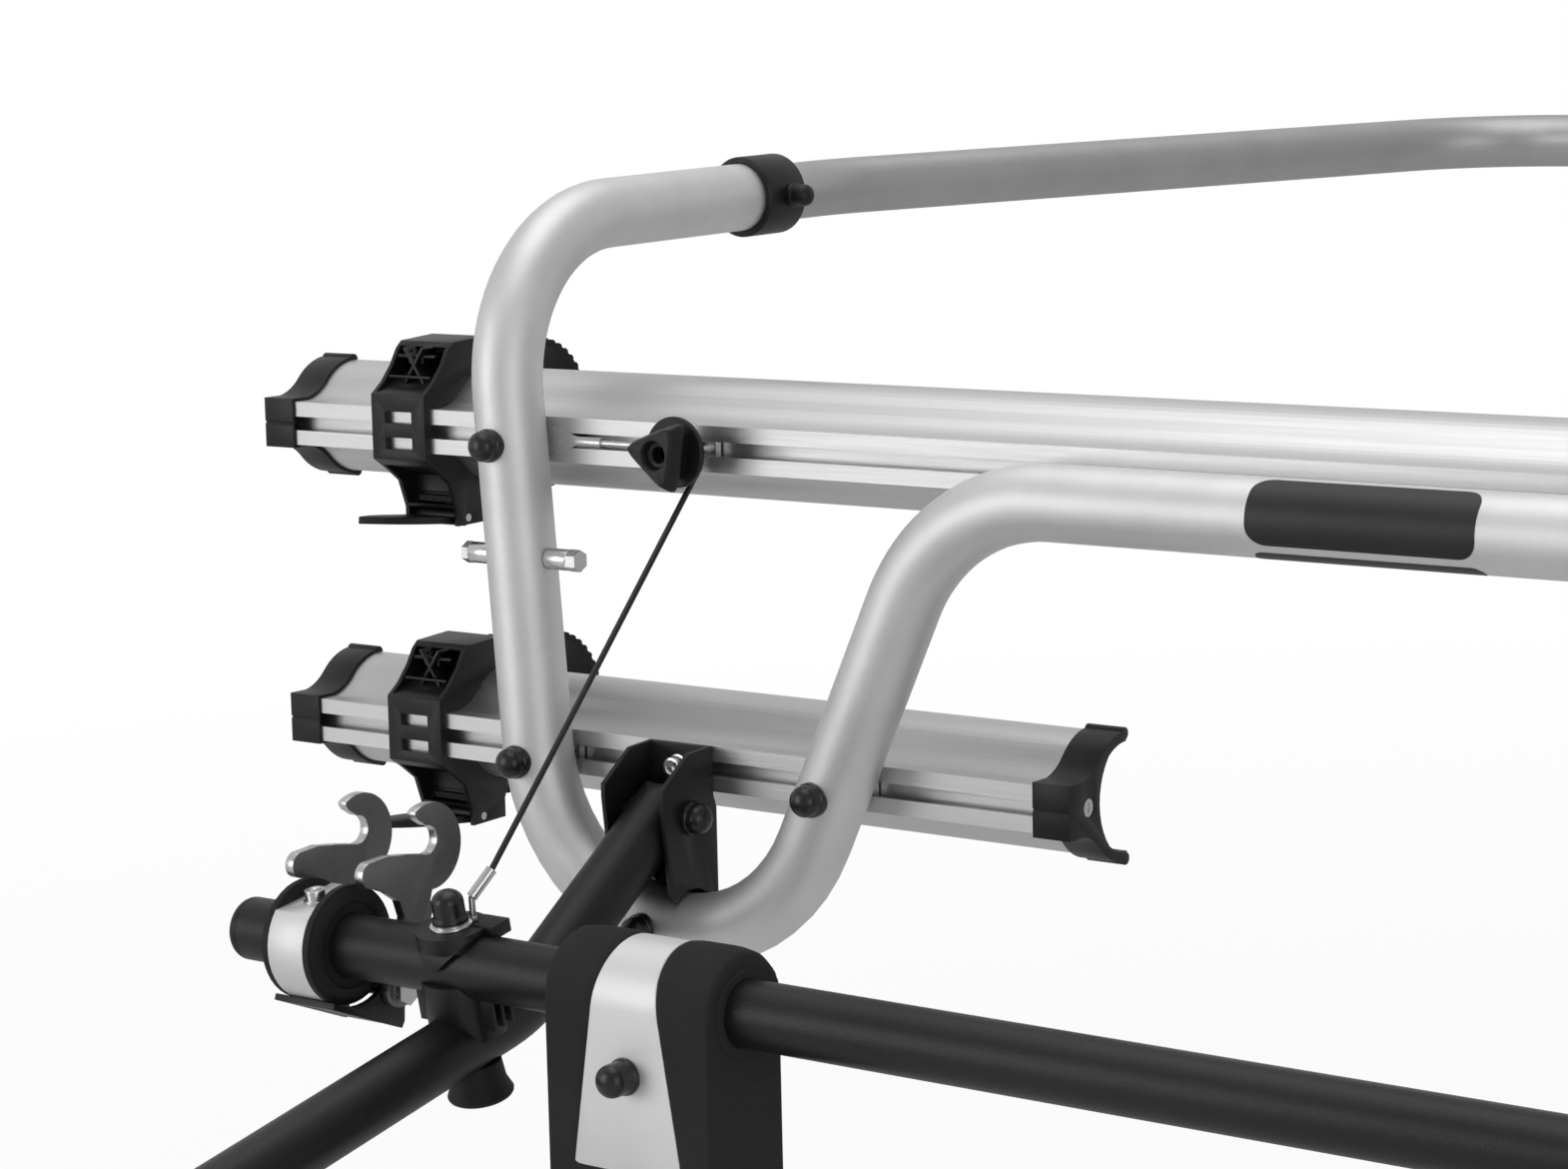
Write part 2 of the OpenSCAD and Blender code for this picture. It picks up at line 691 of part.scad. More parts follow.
// Claw outline about its pivot: round head with an open slot, a front lobe and a stem
module claw_outline() {
  difference() {
    union() {
      circle(r = claw_pivot_r);
      translate(claw_head) circle(r = claw_head_r, $fn = fine);
      translate([-17.5, 57.2]) circle(r = 6.2);
      polygon([[24, 60], [6, 62.5], [-6, 64.2], [-17, 63.4], [-22, 53], [-16, 50.8], [-7, 47], [1, 41.5], [4, 33],
               [-4, 12], [-9, 0], [9, 0], [21, 27], [24, 34], [22, 38], [24, 44]]);
    }
    translate(claw_slot) circle(r = claw_slot_r);
    polygon([[21, 67 + claw_slot_r], [15.5, 77.5], [13.5, 80], [14, 88], [-8, 84], [-12, 64.9], [-6, 64.3],
             [6, 62.6], [21, 67 - claw_slot_r]]);
    circle(r = sleeve_r);
  }
}

module latch_claws() {
  for (x = [-claw_inner - claw_t, claw_inner])
    at_pivot(x) along_x(0, claw_t) claw_outline();
}

module left_latch_claws() color([0.35, 0.35, 0.36]) from_pins() latch_claws();
module right_latch_claws() color([0.35, 0.35, 0.36]) from_pins() mirrored() latch_claws();

// Tray frame

function frame_half() = [
  [end_run_x(end_run), end_run, end_run_z(end_run)],
  [leg_x(top_corner_up), 0, top_corner_up],
  [leg_x(foot_z), 0, foot_z],
  [diagonal_x(middle_run_up), 0, middle_run_up]
];
function flip(points) = [for (i = [len(points) - 1 : -1 : 0]) [-points[i][0], points[i][1], points[i][2]]];

// Axis of the bend at the left leg's foot
foot_turn = 180 - leg_splay - diagonal_lean;
foot_in = unit([sin(diagonal_lean) - sin(leg_splay), cos(diagonal_lean) + cos(leg_splay)]);
foot_centre = [leg_x(foot_z), foot_z] + frame_bend_r / cos(foot_turn / 2) * foot_in;
function foot_axis_z(x) = foot_centre[1] - sqrt(frame_bend_r ^ 2 - (x - foot_centre[0]) ^ 2);
foot_bolt = [-arm_half_span, foot_axis_z(-arm_half_span)];

// Places of the bolts that hold the rails to the frame tube on the left, as [x, z]
rail_bolts = [
  [leg_x(upper_rail_up), upper_rail_up],
  [leg_x(-lower_rail_drop), -lower_rail_drop],
  [diagonal_x(-lower_rail_drop), -lower_rail_drop]
];

module frame_tube() color([0.72, 0.72, 0.73]) from_pins() difference() {
  bent_tube(concat(frame_half(), flip(frame_half())),
            [0, top_bend_r, frame_bend_r, frame_bend_r, frame_bend_r, frame_bend_r, top_bend_r, 0],
            frame_od / 2, frame_od / 2 - frame_wall);
  both_sides() {
    for (b = concat(rail_bolts, [foot_bolt])) bar_y([b[0], 0, b[1]], bolt_hole_r, 2 * frame_od);
    bar_x([leg_x(0), 0, 0], pin_r + fit_gap, 2 * frame_od);
  }
}

function hoop_half() = [
  [end_run_x(end_run - hoop_grip), end_run - hoop_grip, end_run_z(end_run - hoop_grip)],
  [end_run_x(hoop_knee_back), hoop_knee_back, end_run_z(hoop_knee_back)],
  [-hoop_bar_half, hoop_reach, end_run_z(hoop_reach)]
];
hoop_r = frame_od / 2 - frame_wall - hoop_play;

module hoop_tube() color([0.72, 0.72, 0.73]) from_pins()
  bent_tube(concat(hoop_half(), flip(hoop_half())),
            [0, hoop_knee_r, hoop_corner_r, hoop_corner_r, hoop_knee_r, 0], hoop_r, hoop_r - bar_wall);

module at_collar() {
  y = end_run + collar_over;
  translate([end_run_x(y), y, end_run_z(y)]) rotate([-90 + hoop_rise, 0, -end_toe]) children();
}

// Collar stepped inside: half over the frame tube, half over the hoop
module hoop_collars() color([0.06, 0.06, 0.06]) from_pins() both_sides() at_collar() difference() {
  r = frame_od / 2 + collar_wall;
  translate([0, 0, -2 * collar_over]) rotate_extrude($fn = fine) difference() {
    polygon([[hoop_r + fit_gap, 0], [r - 1, 0], [r, 1], [r, collar_len - 1], [r - 1, collar_len],
             [hoop_r + fit_gap, collar_len]]);
    translate([0, -1]) square([frame_od / 2 + fit_gap, collar_over + 1 + eps]);
  }
  rotate([0, 90, 0]) cylinder(r = pin_r + fit_gap, h = 2 * frame_od);
}

module collar_screws() color([0.06, 0.06, 0.06]) from_pins() both_sides() at_collar() {
  seat = frame_od / 2 + collar_wall;
  rotate([0, 90, 0]) {
    translate([0, 0, hoop_r + 0.5]) cylinder(r = pin_r, h = seat + 6 - hoop_r - 0.5);
    translate([0, 0, seat]) dome_cap(6.5, 12, pin_r, 6);
  }
}

// Two plain dark films wrapped on the middle run, as [from, to] angles from the front, upward
film_spans = [[-34, 75], [-84, -50]];
film_half = 53.5;
module label_films() color([0.03, 0.03, 0.03]) from_pins()
  for (span = film_spans)
    translate([-film_half, 0, middle_run_up]) rotate([90, 0, 90]) rotate(180 - span[1])
      rotate_extrude_sector(frame_od / 2 + 0.12, frame_od / 2 + 0.37, span[1] - span[0], 2 * film_half);

// Part of a thin tube about Z, over an angle from the X axis
module rotate_extrude_sector(r_in, r_out, angle, length) {
  rotate_extrude(angle = angle) translate([r_in, 0]) square([r_out - r_in, length]);
}

// Wheel rail

// Wing line from the base box out to the tip, moved sideways by off, as [y, z] from the base face
wing_sink = 0.5;
wing_from = [5, rail_base_h / 2 - rail_wall / 2 - wing_sink];
wing_to = [rail_d, rail_h / 2 - rail_wall / 2];
wing_run = wing_to - wing_from;
wing_r = (wing_run * wing_run) / (4 * wing_run[1]);
wing_turn = asin(wing_run[0] / (2 * wing_r));
function wing_line(off) = concat(
  arc(wing_from + [0, wing_r], wing_r - off, -90, -90 + wing_turn, 8),
  arc(wing_to - [0, wing_r], wing_r + off, 90 + wing_turn * 7 / 8, 90, 7));
function reversed(v) = [for (i = [len(v) - 1 : -1 : 0]) v[i]];
function flipped(v) = [for (p = v) [p[0], -p[1]]];

module wing(inner, outer) {
  band = concat(wing_line(outer), reversed(wing_line(inner)));
  polygon(band);
  polygon(flipped(band));
}

// Where a rising line of [y, z] points passes a height z
function crossing(v, z) = let (i = [for (k = [1 : len(v) - 1]) if (v[k - 1][1] <= z && v[k][1] > z) k][0])
  v[i - 1] + (v[i] - v[i - 1]) * (z - v[i - 1][1]) / (v[i][1] - v[i - 1][1]);

module rail_profile() {
  inner = wing_line(-rail_wall / 2);
  outer = wing_line(rail_wall / 2);
  root = wing_from[1] + wing_r - sqrt((wing_r + rail_wall / 2) ^ 2 - (rail_base_d - wing_from[0]) ^ 2);
  upper = concat([[0, rail_base_h / 2], crossing(outer, rail_base_h / 2)],
                 [for (p = outer) if (p[1] > rail_base_h / 2) p],
                 reversed([for (p = inner) if (p[0] > rail_base_d + 0.5) p]), [[rail_base_d, root]]);
  difference() {
    polygon(concat(upper, reversed(flipped(upper))));
    translate([-1, -slot_w / 2]) square([slot_lip + 2, slot_w]);
    translate([slot_lip, -tee_w / 2]) square([tee_d, tee_w]);
  }
}

module rail(x0, x1, z) {
  translate([0, rail_seat, z]) along_x(x0, x1 - x0) rail_profile();
}

module upper_rail() color([0.74, 0.74, 0.75]) from_pins() rail(-upper_rail_half, upper_rail_half, upper_rail_up);
module left_lower_rail() color([0.74, 0.74, 0.75]) from_pins()
  rail(-lower_rail_outer, -lower_rail_inner, -lower_rail_drop);
module right_lower_rail() color([0.74, 0.74, 0.75]) from_pins() mirrored()
  rail(-lower_rail_outer, -lower_rail_inner, -lower_rail_drop);

// End cap: a sleeve round the rail's end, closed by a wall that dips between two curling horns
cap_end_wall = 2.5;
horn_r = 3;
screw_seat_y = rail_base_d + 4;
module cap_sleeve() {
  grow = rail_wall / 2 + cap_wall;
  translate([-cap_wall, -rail_base_h / 2 - cap_wall])
    square([rail_base_d + 2 * cap_wall, rail_base_h + 2 * cap_wall]);
  wing(-grow, grow);
  for (side = [-1, 1]) translate([wing_to[0] - 1, side * (wing_to[1] + 1)]) circle(r = horn_r);
}

module cap_fill() {
  difference() {
    polygon(concat(wing_line(0), reversed(flipped(wing_line(0)))));
    translate([rail_d + 8, 0]) circle(r = 31);
  }
}

module rail_core() {
  offset_wall = rail_wall / 2 + 0.1;
  translate([-0.1, -rail_base_h / 2 - 0.1]) square([rail_base_d + 0.2, rail_base_h + 0.2]);
  wing(-offset_wall, offset_wall);
}

// One cap with its end wall at x = 0 and the rail entering from the right
module rail_cap() {
  difference() {
    union() {
      along_x(0, cap_len) cap_sleeve();
      along_x(0, cap_end_wall) cap_fill();
      along_x(0, 8) translate([screw_seat_y, 0]) circle(r = 6.5);
    }
    along_x(cap_end_wall, cap_len) rail_core();
    along_x(-1, cap_len) translate([screw_seat_y, 0]) circle(r = 1.8);
    along_x(-1, 3) translate([screw_seat_y, 0]) circle(r = 4.5);
    along_x(-1, cap_len + 2) polygon([[-cap_wall - 1, -2.5], [-cap_wall + 0.8, 0], [-cap_wall - 1, 2.5]]);
  }
}

module at_rail_ends() {
  both_sides() {
    translate([-upper_rail_half - cap_end_wall, rail_seat, upper_rail_up]) children();
    translate([-lower_rail_outer - cap_end_wall, rail_seat, -lower_rail_drop]) children();
    translate([-lower_rail_inner + cap_end_wall, rail_seat, -lower_rail_drop]) mirror([1, 0, 0]) children();
  }
}

module rail_end_caps() color([0.06, 0.06, 0.06]) from_pins() at_rail_ends() rail_cap();

module end_cap_screws() color([0.7, 0.7, 0.7]) from_pins() at_rail_ends()
  translate([0, screw_seat_y, 0]) rotate([0, 90, 0]) {
    translate([0, 0, 2]) cylinder(r = 1.8, h = 8);
    translate([0, 0, 0.5]) difference() {
      cylinder(r = 4.2, h = 1.5);
      for (turn = [0, 90]) rotate(turn) translate([0, 0, 0]) cube([5, 0.9, 1.4], center = true);
    }
  }

// Bolts from the frame tube's front into the nuts in the T-slots and behind the foot bends
module frame_bolts() color([0.7, 0.7, 0.7]) from_pins() both_sides() for (b = concat(rail_bolts, [foot_bolt])) {
  front = -frame_od / 2 - 6;
  back = tee_mid + tee_nut_d / 2;
  bar_y([b[0], (front + back) / 2, b[1]], rail_bolt_r, back - front);
}

// Room for the tube behind a cap: its straight runs, or its foot bend carried on past the cap
module cap_seat(on_bend) {
  p = frame_half();
  r = frame_od / 2 + 0.02;
  if (on_bend) bend(p[1], p[2], p[3], frame_bend_r, 4) circle(r = r);
  else for (i = [1, 2]) straight_run(p[i], p[i + 1]) circle(r = r);
}

cap_skirt = 3;
module bolt_caps() color([0.06, 0.06, 0.06]) from_pins() both_sides() {
  for (b = concat(rail_bolts, [foot_bolt])) difference() {
    translate([b[0], -frame_od / 2 + 0.3, b[1]]) rotate([90, 0, 0])
      dome_cap(cap_r, cap_h, rail_bolt_r, 6.3, cap_skirt);
    cap_seat(b == rail_bolts[1] || b == foot_bolt);
  }
  for (side = [-1, 1])
    translate([-arm_half_span + side * hinge_plate_out, 0, hinge_z]) rotate([0, side * 90, 0])
      dome_cap(cap_r, cap_h, hinge_bolt_r, 6);
}

// Nuts in the T-slots, and a hexagon nut behind each foot bend
module t_nuts() color([0.7, 0.7, 0.7]) from_pins() both_sides() {
  for (b = concat(rail_bolts, [[knob_x, upper_rail_up], [-arm_half_span, -lower_rail_drop]]))
    difference() {
      translate([b[0], tee_mid, b[1]]) cube([tee_nut_l, tee_nut_d, tee_w - 1], center = true);
      bar_y([b[0], tee_mid, b[1]], rail_bolt_r, 3 * tee_nut_d);
    }
  difference() {
    translate([foot_bolt[0], tab_y + bracket_wall, foot_bolt[1]]) rotate([-90, 0, 0]) hexagon(6, 4.5);
    bar_y([foot_bolt[0], tee_mid, foot_bolt[1]], rail_bolt_r, 8 * tee_nut_d);
  }
}

module latch_pins() color([0.72, 0.72, 0.72]) from_pins() both_sides() translate([leg_x(0), 0, 0]) {
  reach = frame_od / 2 + spacer_gap + pin_spacer_len;
  bar_x([0, 0, 0], pin_r, 2 * reach + 8);
  translate([reach, 0, 0]) rotate([0, 90, 0]) hexagon(pin_nut_r, pin_nut_t);
  translate([-reach, 0, 0]) rotate([0, -90, 0]) hexagon(pin_nut_r, 4);
}

module latch_pin_spacers() color([0.72, 0.72, 0.72]) from_pins() both_sides()
  for (side = [-1, 1])
    translate([leg_x(0) + side * (frame_od / 2 + spacer_gap + pin_spacer_len / 2), 0, 0]) rotate([0, 90, 0])
      linear_extrude(pin_spacer_len, center = true) ring(pin_spacer_r, pin_r + fit_gap);

// Hinge bracket: two cheeks beside the arm, notched over the foot bend, and a joggled web behind them
hinge_outline = [
  [web_y, -88], [0, -89], [-21, -103.5], [-21, -110], [-16, -155], [-14, -159], [-11, -160.5], [-8, -160],
  [tab_y, -160], [tab_y + bracket_wall, -157], [tab_y + bracket_wall, -118], [web_y, -112]
];
module hinge_plate(x) {
  difference() {
    polygon(hinge_outline);
    translate([0, foot_axis_z(x)]) circle(r = frame_od / 2 + 2.5);
  }
}

module hinge_web() {
  polygon([[web_y - bracket_wall, -88], [web_y, -88], [web_y, -112], [tab_y + bracket_wall, -118],
           [tab_y + bracket_wall, -188], [tab_y, -188], [tab_y, -119], [web_y - bracket_wall, -113]]);
}

module hinge_bracket() difference() {
  x = -arm_half_span;
  union() {
    along_x(x - hinge_plate_out, bracket_wall) hinge_plate(x - hinge_plate_out);
    along_x(x + hinge_plate_in, bracket_wall) hinge_plate(x + hinge_plate_in);
    along_x(x - hinge_plate_out, 2 * hinge_plate_out) hinge_web();
  }
  bar_x([x, 0, hinge_z], hinge_bolt_r + fit_gap, 4 * hinge_plate_out);
  bar_y([x, web_y, -lower_rail_drop], bolt_hole_r, 20);
  bar_y([x, tab_y, foot_axis_z(x)], bolt_hole_r, 20);
}

module left_hinge_bracket() color([0.09, 0.09, 0.09]) from_pins() hinge_bracket();
module right_hinge_bracket() color([0.09, 0.09, 0.09]) from_pins() mirrored() hinge_bracket();

module hinge_bolts() color([0.7, 0.7, 0.7]) from_pins() both_sides()
  bar_x([-arm_half_span, 0, hinge_z], hinge_bolt_r, 2 * hinge_plate_out + 12);

// Socket screw and washer that hold the bracket's web to the rail
module bracket_screws() color([0.75, 0.75, 0.75]) from_pins() both_sides()
  translate([-arm_half_span, web_y - bracket_wall, -lower_rail_drop]) rotate([90, 0, 0]) {
    translate([0, 0, -tee_mid - tee_nut_d / 2 + web_y - bracket_wall])
      cylinder(r = rail_bolt_r, h = tee_mid + tee_nut_d / 2 - web_y + bracket_wall + 1);
    cylinder(r = 6, h = 1);
    translate([0, 0, 1]) difference() {
      cylinder(r = 5, h = 5);
      translate([0, 0, 2]) hexagon(2.9, 4);
    }
  }

// Strap holders, straps and levers

// Side outline of a holder, as [y, z] from the frame plane and the rail's centre
module holder_side() {
  polygon([[holder_front, -15], [holder_front, 18], [22, 24], [29, 32], [34, 40], [38, 43.5], [62, 45],
           [74, 42], [72, 34], [50, 20], [24, 0], [50, -20], [66, -31], [housing_back, -40],
           [housing_back, -50], [37, -50.5], [37, -42], [32, -28], [23, -21]]);
}

module strap_holder() {
  window_w = holder_w - 18;
  inner_w = holder_w - 2 * holder_wall;
  difference() {
    along_x(-holder_w / 2, holder_w) difference() {
      holder_side();
      translate([rail_seat, 0]) rail_shell(0);
    }
    for (z = [3.6, -9.6])
      translate([-window_w / 2, holder_front - 1, z]) cube([window_w, 10, 6]);
    along_x(-inner_w / 2, inner_w) difference() {
      polygon([[holder_front - 6, 17], [22, 20.5], [40, 28], [60, 36], [60, 42.5], [36, 41], [24, 41], [6, 24]]);
      translate([rail_seat, 0]) rail_shell(holder_wall);
    }
    along_x(-inner_w / 2, inner_w) difference() {
      polygon([[8, -17.5], [24, -19], [44, -26], [44, -34], [40, -40], [20, -40], [8, -26]]);
      translate([rail_seat, 0]) rail_shell(holder_wall);
    }
    for (z = [-strap_loop_r - 0.4, strap_loop_r - strap_t - rung_h - 0.4])
      translate([-strap_w / 2 - 0.6, z < 0 ? strap_end - 2 : strap_start - 2, z])
        cube([strap_w + 1.2, 60, strap_t + rung_h + 0.8]);
    lever_well();
    bar_x([0, lever_pin[0], lever_pin[1]], lever_pin_r, 2 * holder_w);
  }
  for (lean = [-1, 1])
    translate([0, 33, 32]) rotate([0, lean * 35, 0]) cube([1.6, 12, 22], center = true);
}

// Filled outline of the rail and its channel, grown by a wall, as [y, z] from the base face
module rail_shell(wall) {
  edge = wing_line(rail_wall / 2 + wall);
  past = rail_d + 20;
  translate([-wall, -rail_base_h / 2 - wall]) square([rail_base_d + wall, rail_base_h + 2 * wall]);
  polygon(concat(edge, [[past, rail_h / 2 + wall], [past, -rail_h / 2 - wall]], reversed(flipped(edge))));
}

// Room for the lever's root in the housing
module lever_well() {
  translate([-holder_w / 2 + holder_wall, 30, lever_pin[1] - lever_barrel_r - 0.6])
    cube([holder_w - 2 * holder_wall, lever_pin[0] - 30 + lever_barrel_r + 0.5, 2 * lever_barrel_r + 1.2]);
}

module at_upper_left() translate([-upper_holder_x, 0, upper_rail_up]) children();
module at_lower_left() translate([-lower_holder_x, 0, -lower_rail_drop]) children();

module upper_left_strap_holder() color([0.07, 0.07, 0.07]) from_pins() at_upper_left() strap_holder();
module lower_left_strap_holder() color([0.07, 0.07, 0.07]) from_pins() at_lower_left() strap_holder();
module upper_right_strap_holder() color([0.07, 0.07, 0.07]) from_pins() mirrored() at_upper_left() strap_holder();
module lower_right_strap_holder() color([0.07, 0.07, 0.07]) from_pins() mirrored() at_lower_left() strap_holder();

module lever_pins() color([0.3, 0.3, 0.3]) from_pins() both_sides() {
  at_upper_left() bar_x([0, lever_pin[0], lever_pin[1]], lever_pin_r, holder_w);
  at_lower_left() bar_x([0, lever_pin[0], lever_pin[1]], lever_pin_r, holder_w);
}

// Paddle lever: a barrel on the pin and a leaf that narrows, swells and ends round
module lever() {
  root_w = holder_w - 2 * holder_wall - 1;
  leaf = [for (i = [0 : 16]) let (s = i / 16)
    [-lever_len * s, (root_w / 2) * (1 - s) + 9.5 * sin(180 * s) * s + 0.6 * s]];
  translate([0, lever_pin[0], lever_pin[1]]) difference() {
    union() {
      bar_x([0, 0, 0], lever_barrel_r, root_w);
      rotate([-lever_rise, 0, 0]) translate([0, 0, -lever_barrel_r + 1]) linear_extrude(lever_t)
        polygon([for (p = concat(leaf, reversed(flipped(leaf)))) [p[1], p[0]]]);
    }
    bar_x([0, 0, 0], lever_pin_r + fit_gap, 2 * root_w);
  }
}

module upper_left_lever() color([0.07, 0.07, 0.07]) from_pins() at_upper_left() lever();
module lower_left_lever() color([0.07, 0.07, 0.07]) from_pins() at_lower_left() lever();
module upper_right_lever() color([0.07, 0.07, 0.07]) from_pins() mirrored() at_upper_left() lever();
module lower_right_lever() color([0.07, 0.07, 0.07]) from_pins() mirrored() at_lower_left() lever();

// Ladder strap: two straight runs joined by a half circle, with rungs on its outer face
strap_top_run = strap_loop_back - strap_start;
strap_low_run = strap_loop_back - strap_end;
strap_arc = PI * strap_loop_r;
strap_total = strap_top_run + strap_arc + strap_low_run;
function strap_at(s, out) =
  s < strap_top_run ? [strap_start + s, strap_loop_r - rung_h + out]
  : s < strap_top_run + strap_arc
    ? let (a = 90 - (s - strap_top_run) / strap_arc * 180)
      [strap_loop_back, 0] + (strap_loop_r - rung_h + out) * [cos(a), sin(a)]
    : [strap_loop_back - (s - strap_top_run - strap_arc), -strap_loop_r + rung_h - out];
strap_rungs = floor((strap_total - 2) / rung_pitch);
strap_outer = [for (i = [0 : strap_rungs - 1], k = [0 : 3])
  strap_at(1 + (i + [0.1, 0.25, 0.6, 0.75][k]) * rung_pitch, (k == 1 || k == 2) ? rung_h : 0)];
strap_inner = [for (i = [0 : 40]) strap_at(strap_total * i / 40, -strap_t)];

module ladder_strap() along_x(-strap_w / 2, strap_w)
  polygon(concat([strap_at(0, 0)], strap_outer, [strap_at(strap_total, 0)], reversed(strap_inner)));

module upper_ladder_straps() color([0.06, 0.06, 0.06]) from_pins() both_sides() at_upper_left() ladder_strap();
module lower_ladder_straps() color([0.06, 0.06, 0.06]) from_pins() both_sides() at_lower_left() ladder_strap();

// Stay wires and knobs

// Three-lobed knob, its back face on z = 0 and its bored front up
module knob() {
  lobe_r = 7;
  translate([knob_x, knob_face, upper_rail_up]) rotate([90, 0, 0]) difference() {
    union() {
      cylinder(r = 11.5, h = knob_d - 1);
      translate([0, 0, -knob_neck]) cylinder(r = knob_neck_r, h = knob_neck + 1);
      for (turn = [20 : 120 : 260]) rotate(turn) translate([knob_r - lobe_r, 0, 1.5])
        cylinder(r = lobe_r, h = knob_d - 1.5);
    }
    for (turn = [20 : 120 : 260]) rotate(turn) translate([knob_r - lobe_r, 0, 5])
      cylinder(r = lobe_r - 2.6, h = knob_d);
    translate([0, 0, -knob_neck - 1]) cylinder(r = rail_bolt_r + fit_gap, h = knob_neck + knob_d - 2);
  }
}

module left_knob() color([0.06, 0.06, 0.06]) from_pins() knob();
module right_knob() color([0.06, 0.06, 0.06]) from_pins() mirrored() knob();

module knob_bolts() color([0.72, 0.72, 0.72]) from_pins() both_sides() {
  front = knob_face - knob_d + 5;
  back = tee_mid + tee_nut_d / 2;
  bar_y([knob_x, (front + back) / 2, upper_rail_up], rail_bolt_r, back - front);
}

// Wire lug under the leg's rail bolt, its crimp, and the wire from there to the knob's bolt
lug_t = 0.6;
upper_wire_y = rail_seat - 0.1 - crimp_r;
module upper_wire_ends() color([0.7, 0.7, 0.7]) from_pins() both_sides() {
  x = leg_x(upper_rail_up);
  crimp_from = x + frame_od / 2 + 12;
  crimp_l = 15;
  wire_to = knob_x - rail_bolt_r - 2;
  translate([x, rail_seat - 0.05, upper_rail_up]) rotate([90, 0, 0]) linear_extrude(lug_t) difference() {
    union() {
      circle(r = 7);
      polygon([[0, -7], [frame_od / 2, -6], [frame_od / 2 + 8, -2.4], [frame_od / 2 + 13, -2.2],
               [frame_od / 2 + 13, 2.2], [frame_od / 2 + 8, 2.4], [frame_od / 2, 6], [0, 7]]);
    }
    circle(r = bolt_hole_r);
  }
  bar_x([crimp_from + crimp_l / 2, upper_wire_y, upper_rail_up], crimp_r, crimp_l);
  bar_x([(crimp_from + crimp_l + wire_to) / 2, upper_wire_y, upper_rail_up], wire_r,
        wire_to - crimp_from - crimp_l);
}

// Lower eye under the saddle's cap nut, with its tongue and crimp
module lower_wire_ends() color([0.7, 0.7, 0.7]) from_pins() both_sides() {
  eye_lift = saddle_top + washer_t;
  at_cross(-arm_half_span) translate([0, 0, eye_lift]) linear_extrude(eye_t) difference() {
    union() {
      circle(r = eye_r);
      rotate(44) translate([0, -2]) square([eye_r + 3.5, 4]);
    }
    circle(r = base_bolt_r + 0.2);
  }
  stem = [7.35, 7.1];
  eye_edge = [-arm_half_span + stem[0], cross_at[0] + stem[1] * stack_dir[1] + (eye_lift + 1) * stack_dir[0],
              cross_at[1] - stem[1] * stack_dir[0] + (eye_lift + 1) * stack_dir[1]];
  straight_run(eye_edge, crimp_end) circle(r = 1.5);
  straight_run(crimp_end, stay_points[len(stay_points) - 1]) circle(r = crimp_r);
}

// Round cord through its route's points, as one faceted sweep
wire_sides = 8;
function way_at(p, i) = unit(p[min(i + 1, len(p) - 1)] - p[max(i - 1, 0)]);
function wire_ring(p, i) = let (w = way_at(p, i), a = unit(cross(w, [1, 0, 0])), b = cross(w, a))
  [for (k = [0 : wire_sides - 1]) p[i] + wire_r * (cos(k * 360 / wire_sides) * a + sin(k * 360 / wire_sides) * b)];

module stay_wire() {
  rings = len(stay_points);
  points = [for (i = [0 : rings - 1], p = wire_ring(stay_points, i)) p];
  sides = [for (i = [0 : rings - 2], k = [0 : wire_sides - 1], half = [0, 1])
    let (a = i * wire_sides + k, b = i * wire_sides + (k + 1) % wire_sides, c = a + wire_sides, d = b + wire_sides)
    half == 0 ? [a, b, d] : [a, d, c]];
  first = [for (k = [wire_sides - 1 : -1 : 0]) k];
  last = [for (k = [0 : wire_sides - 1]) (rings - 1) * wire_sides + k];
  polyhedron(points, concat(sides, [first, last]));
}

module left_stay_wire() color([0.05, 0.05, 0.05]) from_pins() stay_wire();
module right_stay_wire() color([0.05, 0.05, 0.05]) from_pins() mirrored() stay_wire();

cross_tube();
tube_end_caps();
left_arm();
right_arm();
upper_saddles();
lower_saddles();
saddle_feet();
base_bolts();
saddle_washers();
base_cap_nuts();
left_foam_pad();
right_foam_pad();
pad_straps();
clamp_rings();
clamp_bands();
clamp_screws();
latch_brackets();
latch_pivot_bolts();
left_latch_claws();
right_latch_claws();
left_latch_sleeve();
right_latch_sleeve();
frame_tube();
hoop_tube();
hoop_collars();
collar_screws();
label_films();
upper_rail();
left_lower_rail();
right_lower_rail();
rail_end_caps();
end_cap_screws();
frame_bolts();
bolt_caps();
t_nuts();
latch_pins();
latch_pin_spacers();
left_hinge_bracket();
right_hinge_bracket();
hinge_bolts();
bracket_screws();
upper_left_strap_holder();
upper_right_strap_holder();
lower_left_strap_holder();
lower_right_strap_holder();
lever_pins();
upper_ladder_straps();
lower_ladder_straps();
upper_left_lever();
upper_right_lever();
lower_left_lever();
lower_right_lever();
left_knob();
right_knob();
knob_bolts();
upper_wire_ends();
lower_wire_ends();
left_stay_wire();
right_stay_wire();
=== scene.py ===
import bpy, bmesh, json, math
from contextlib import contextmanager
from mathutils import Matrix, Vector

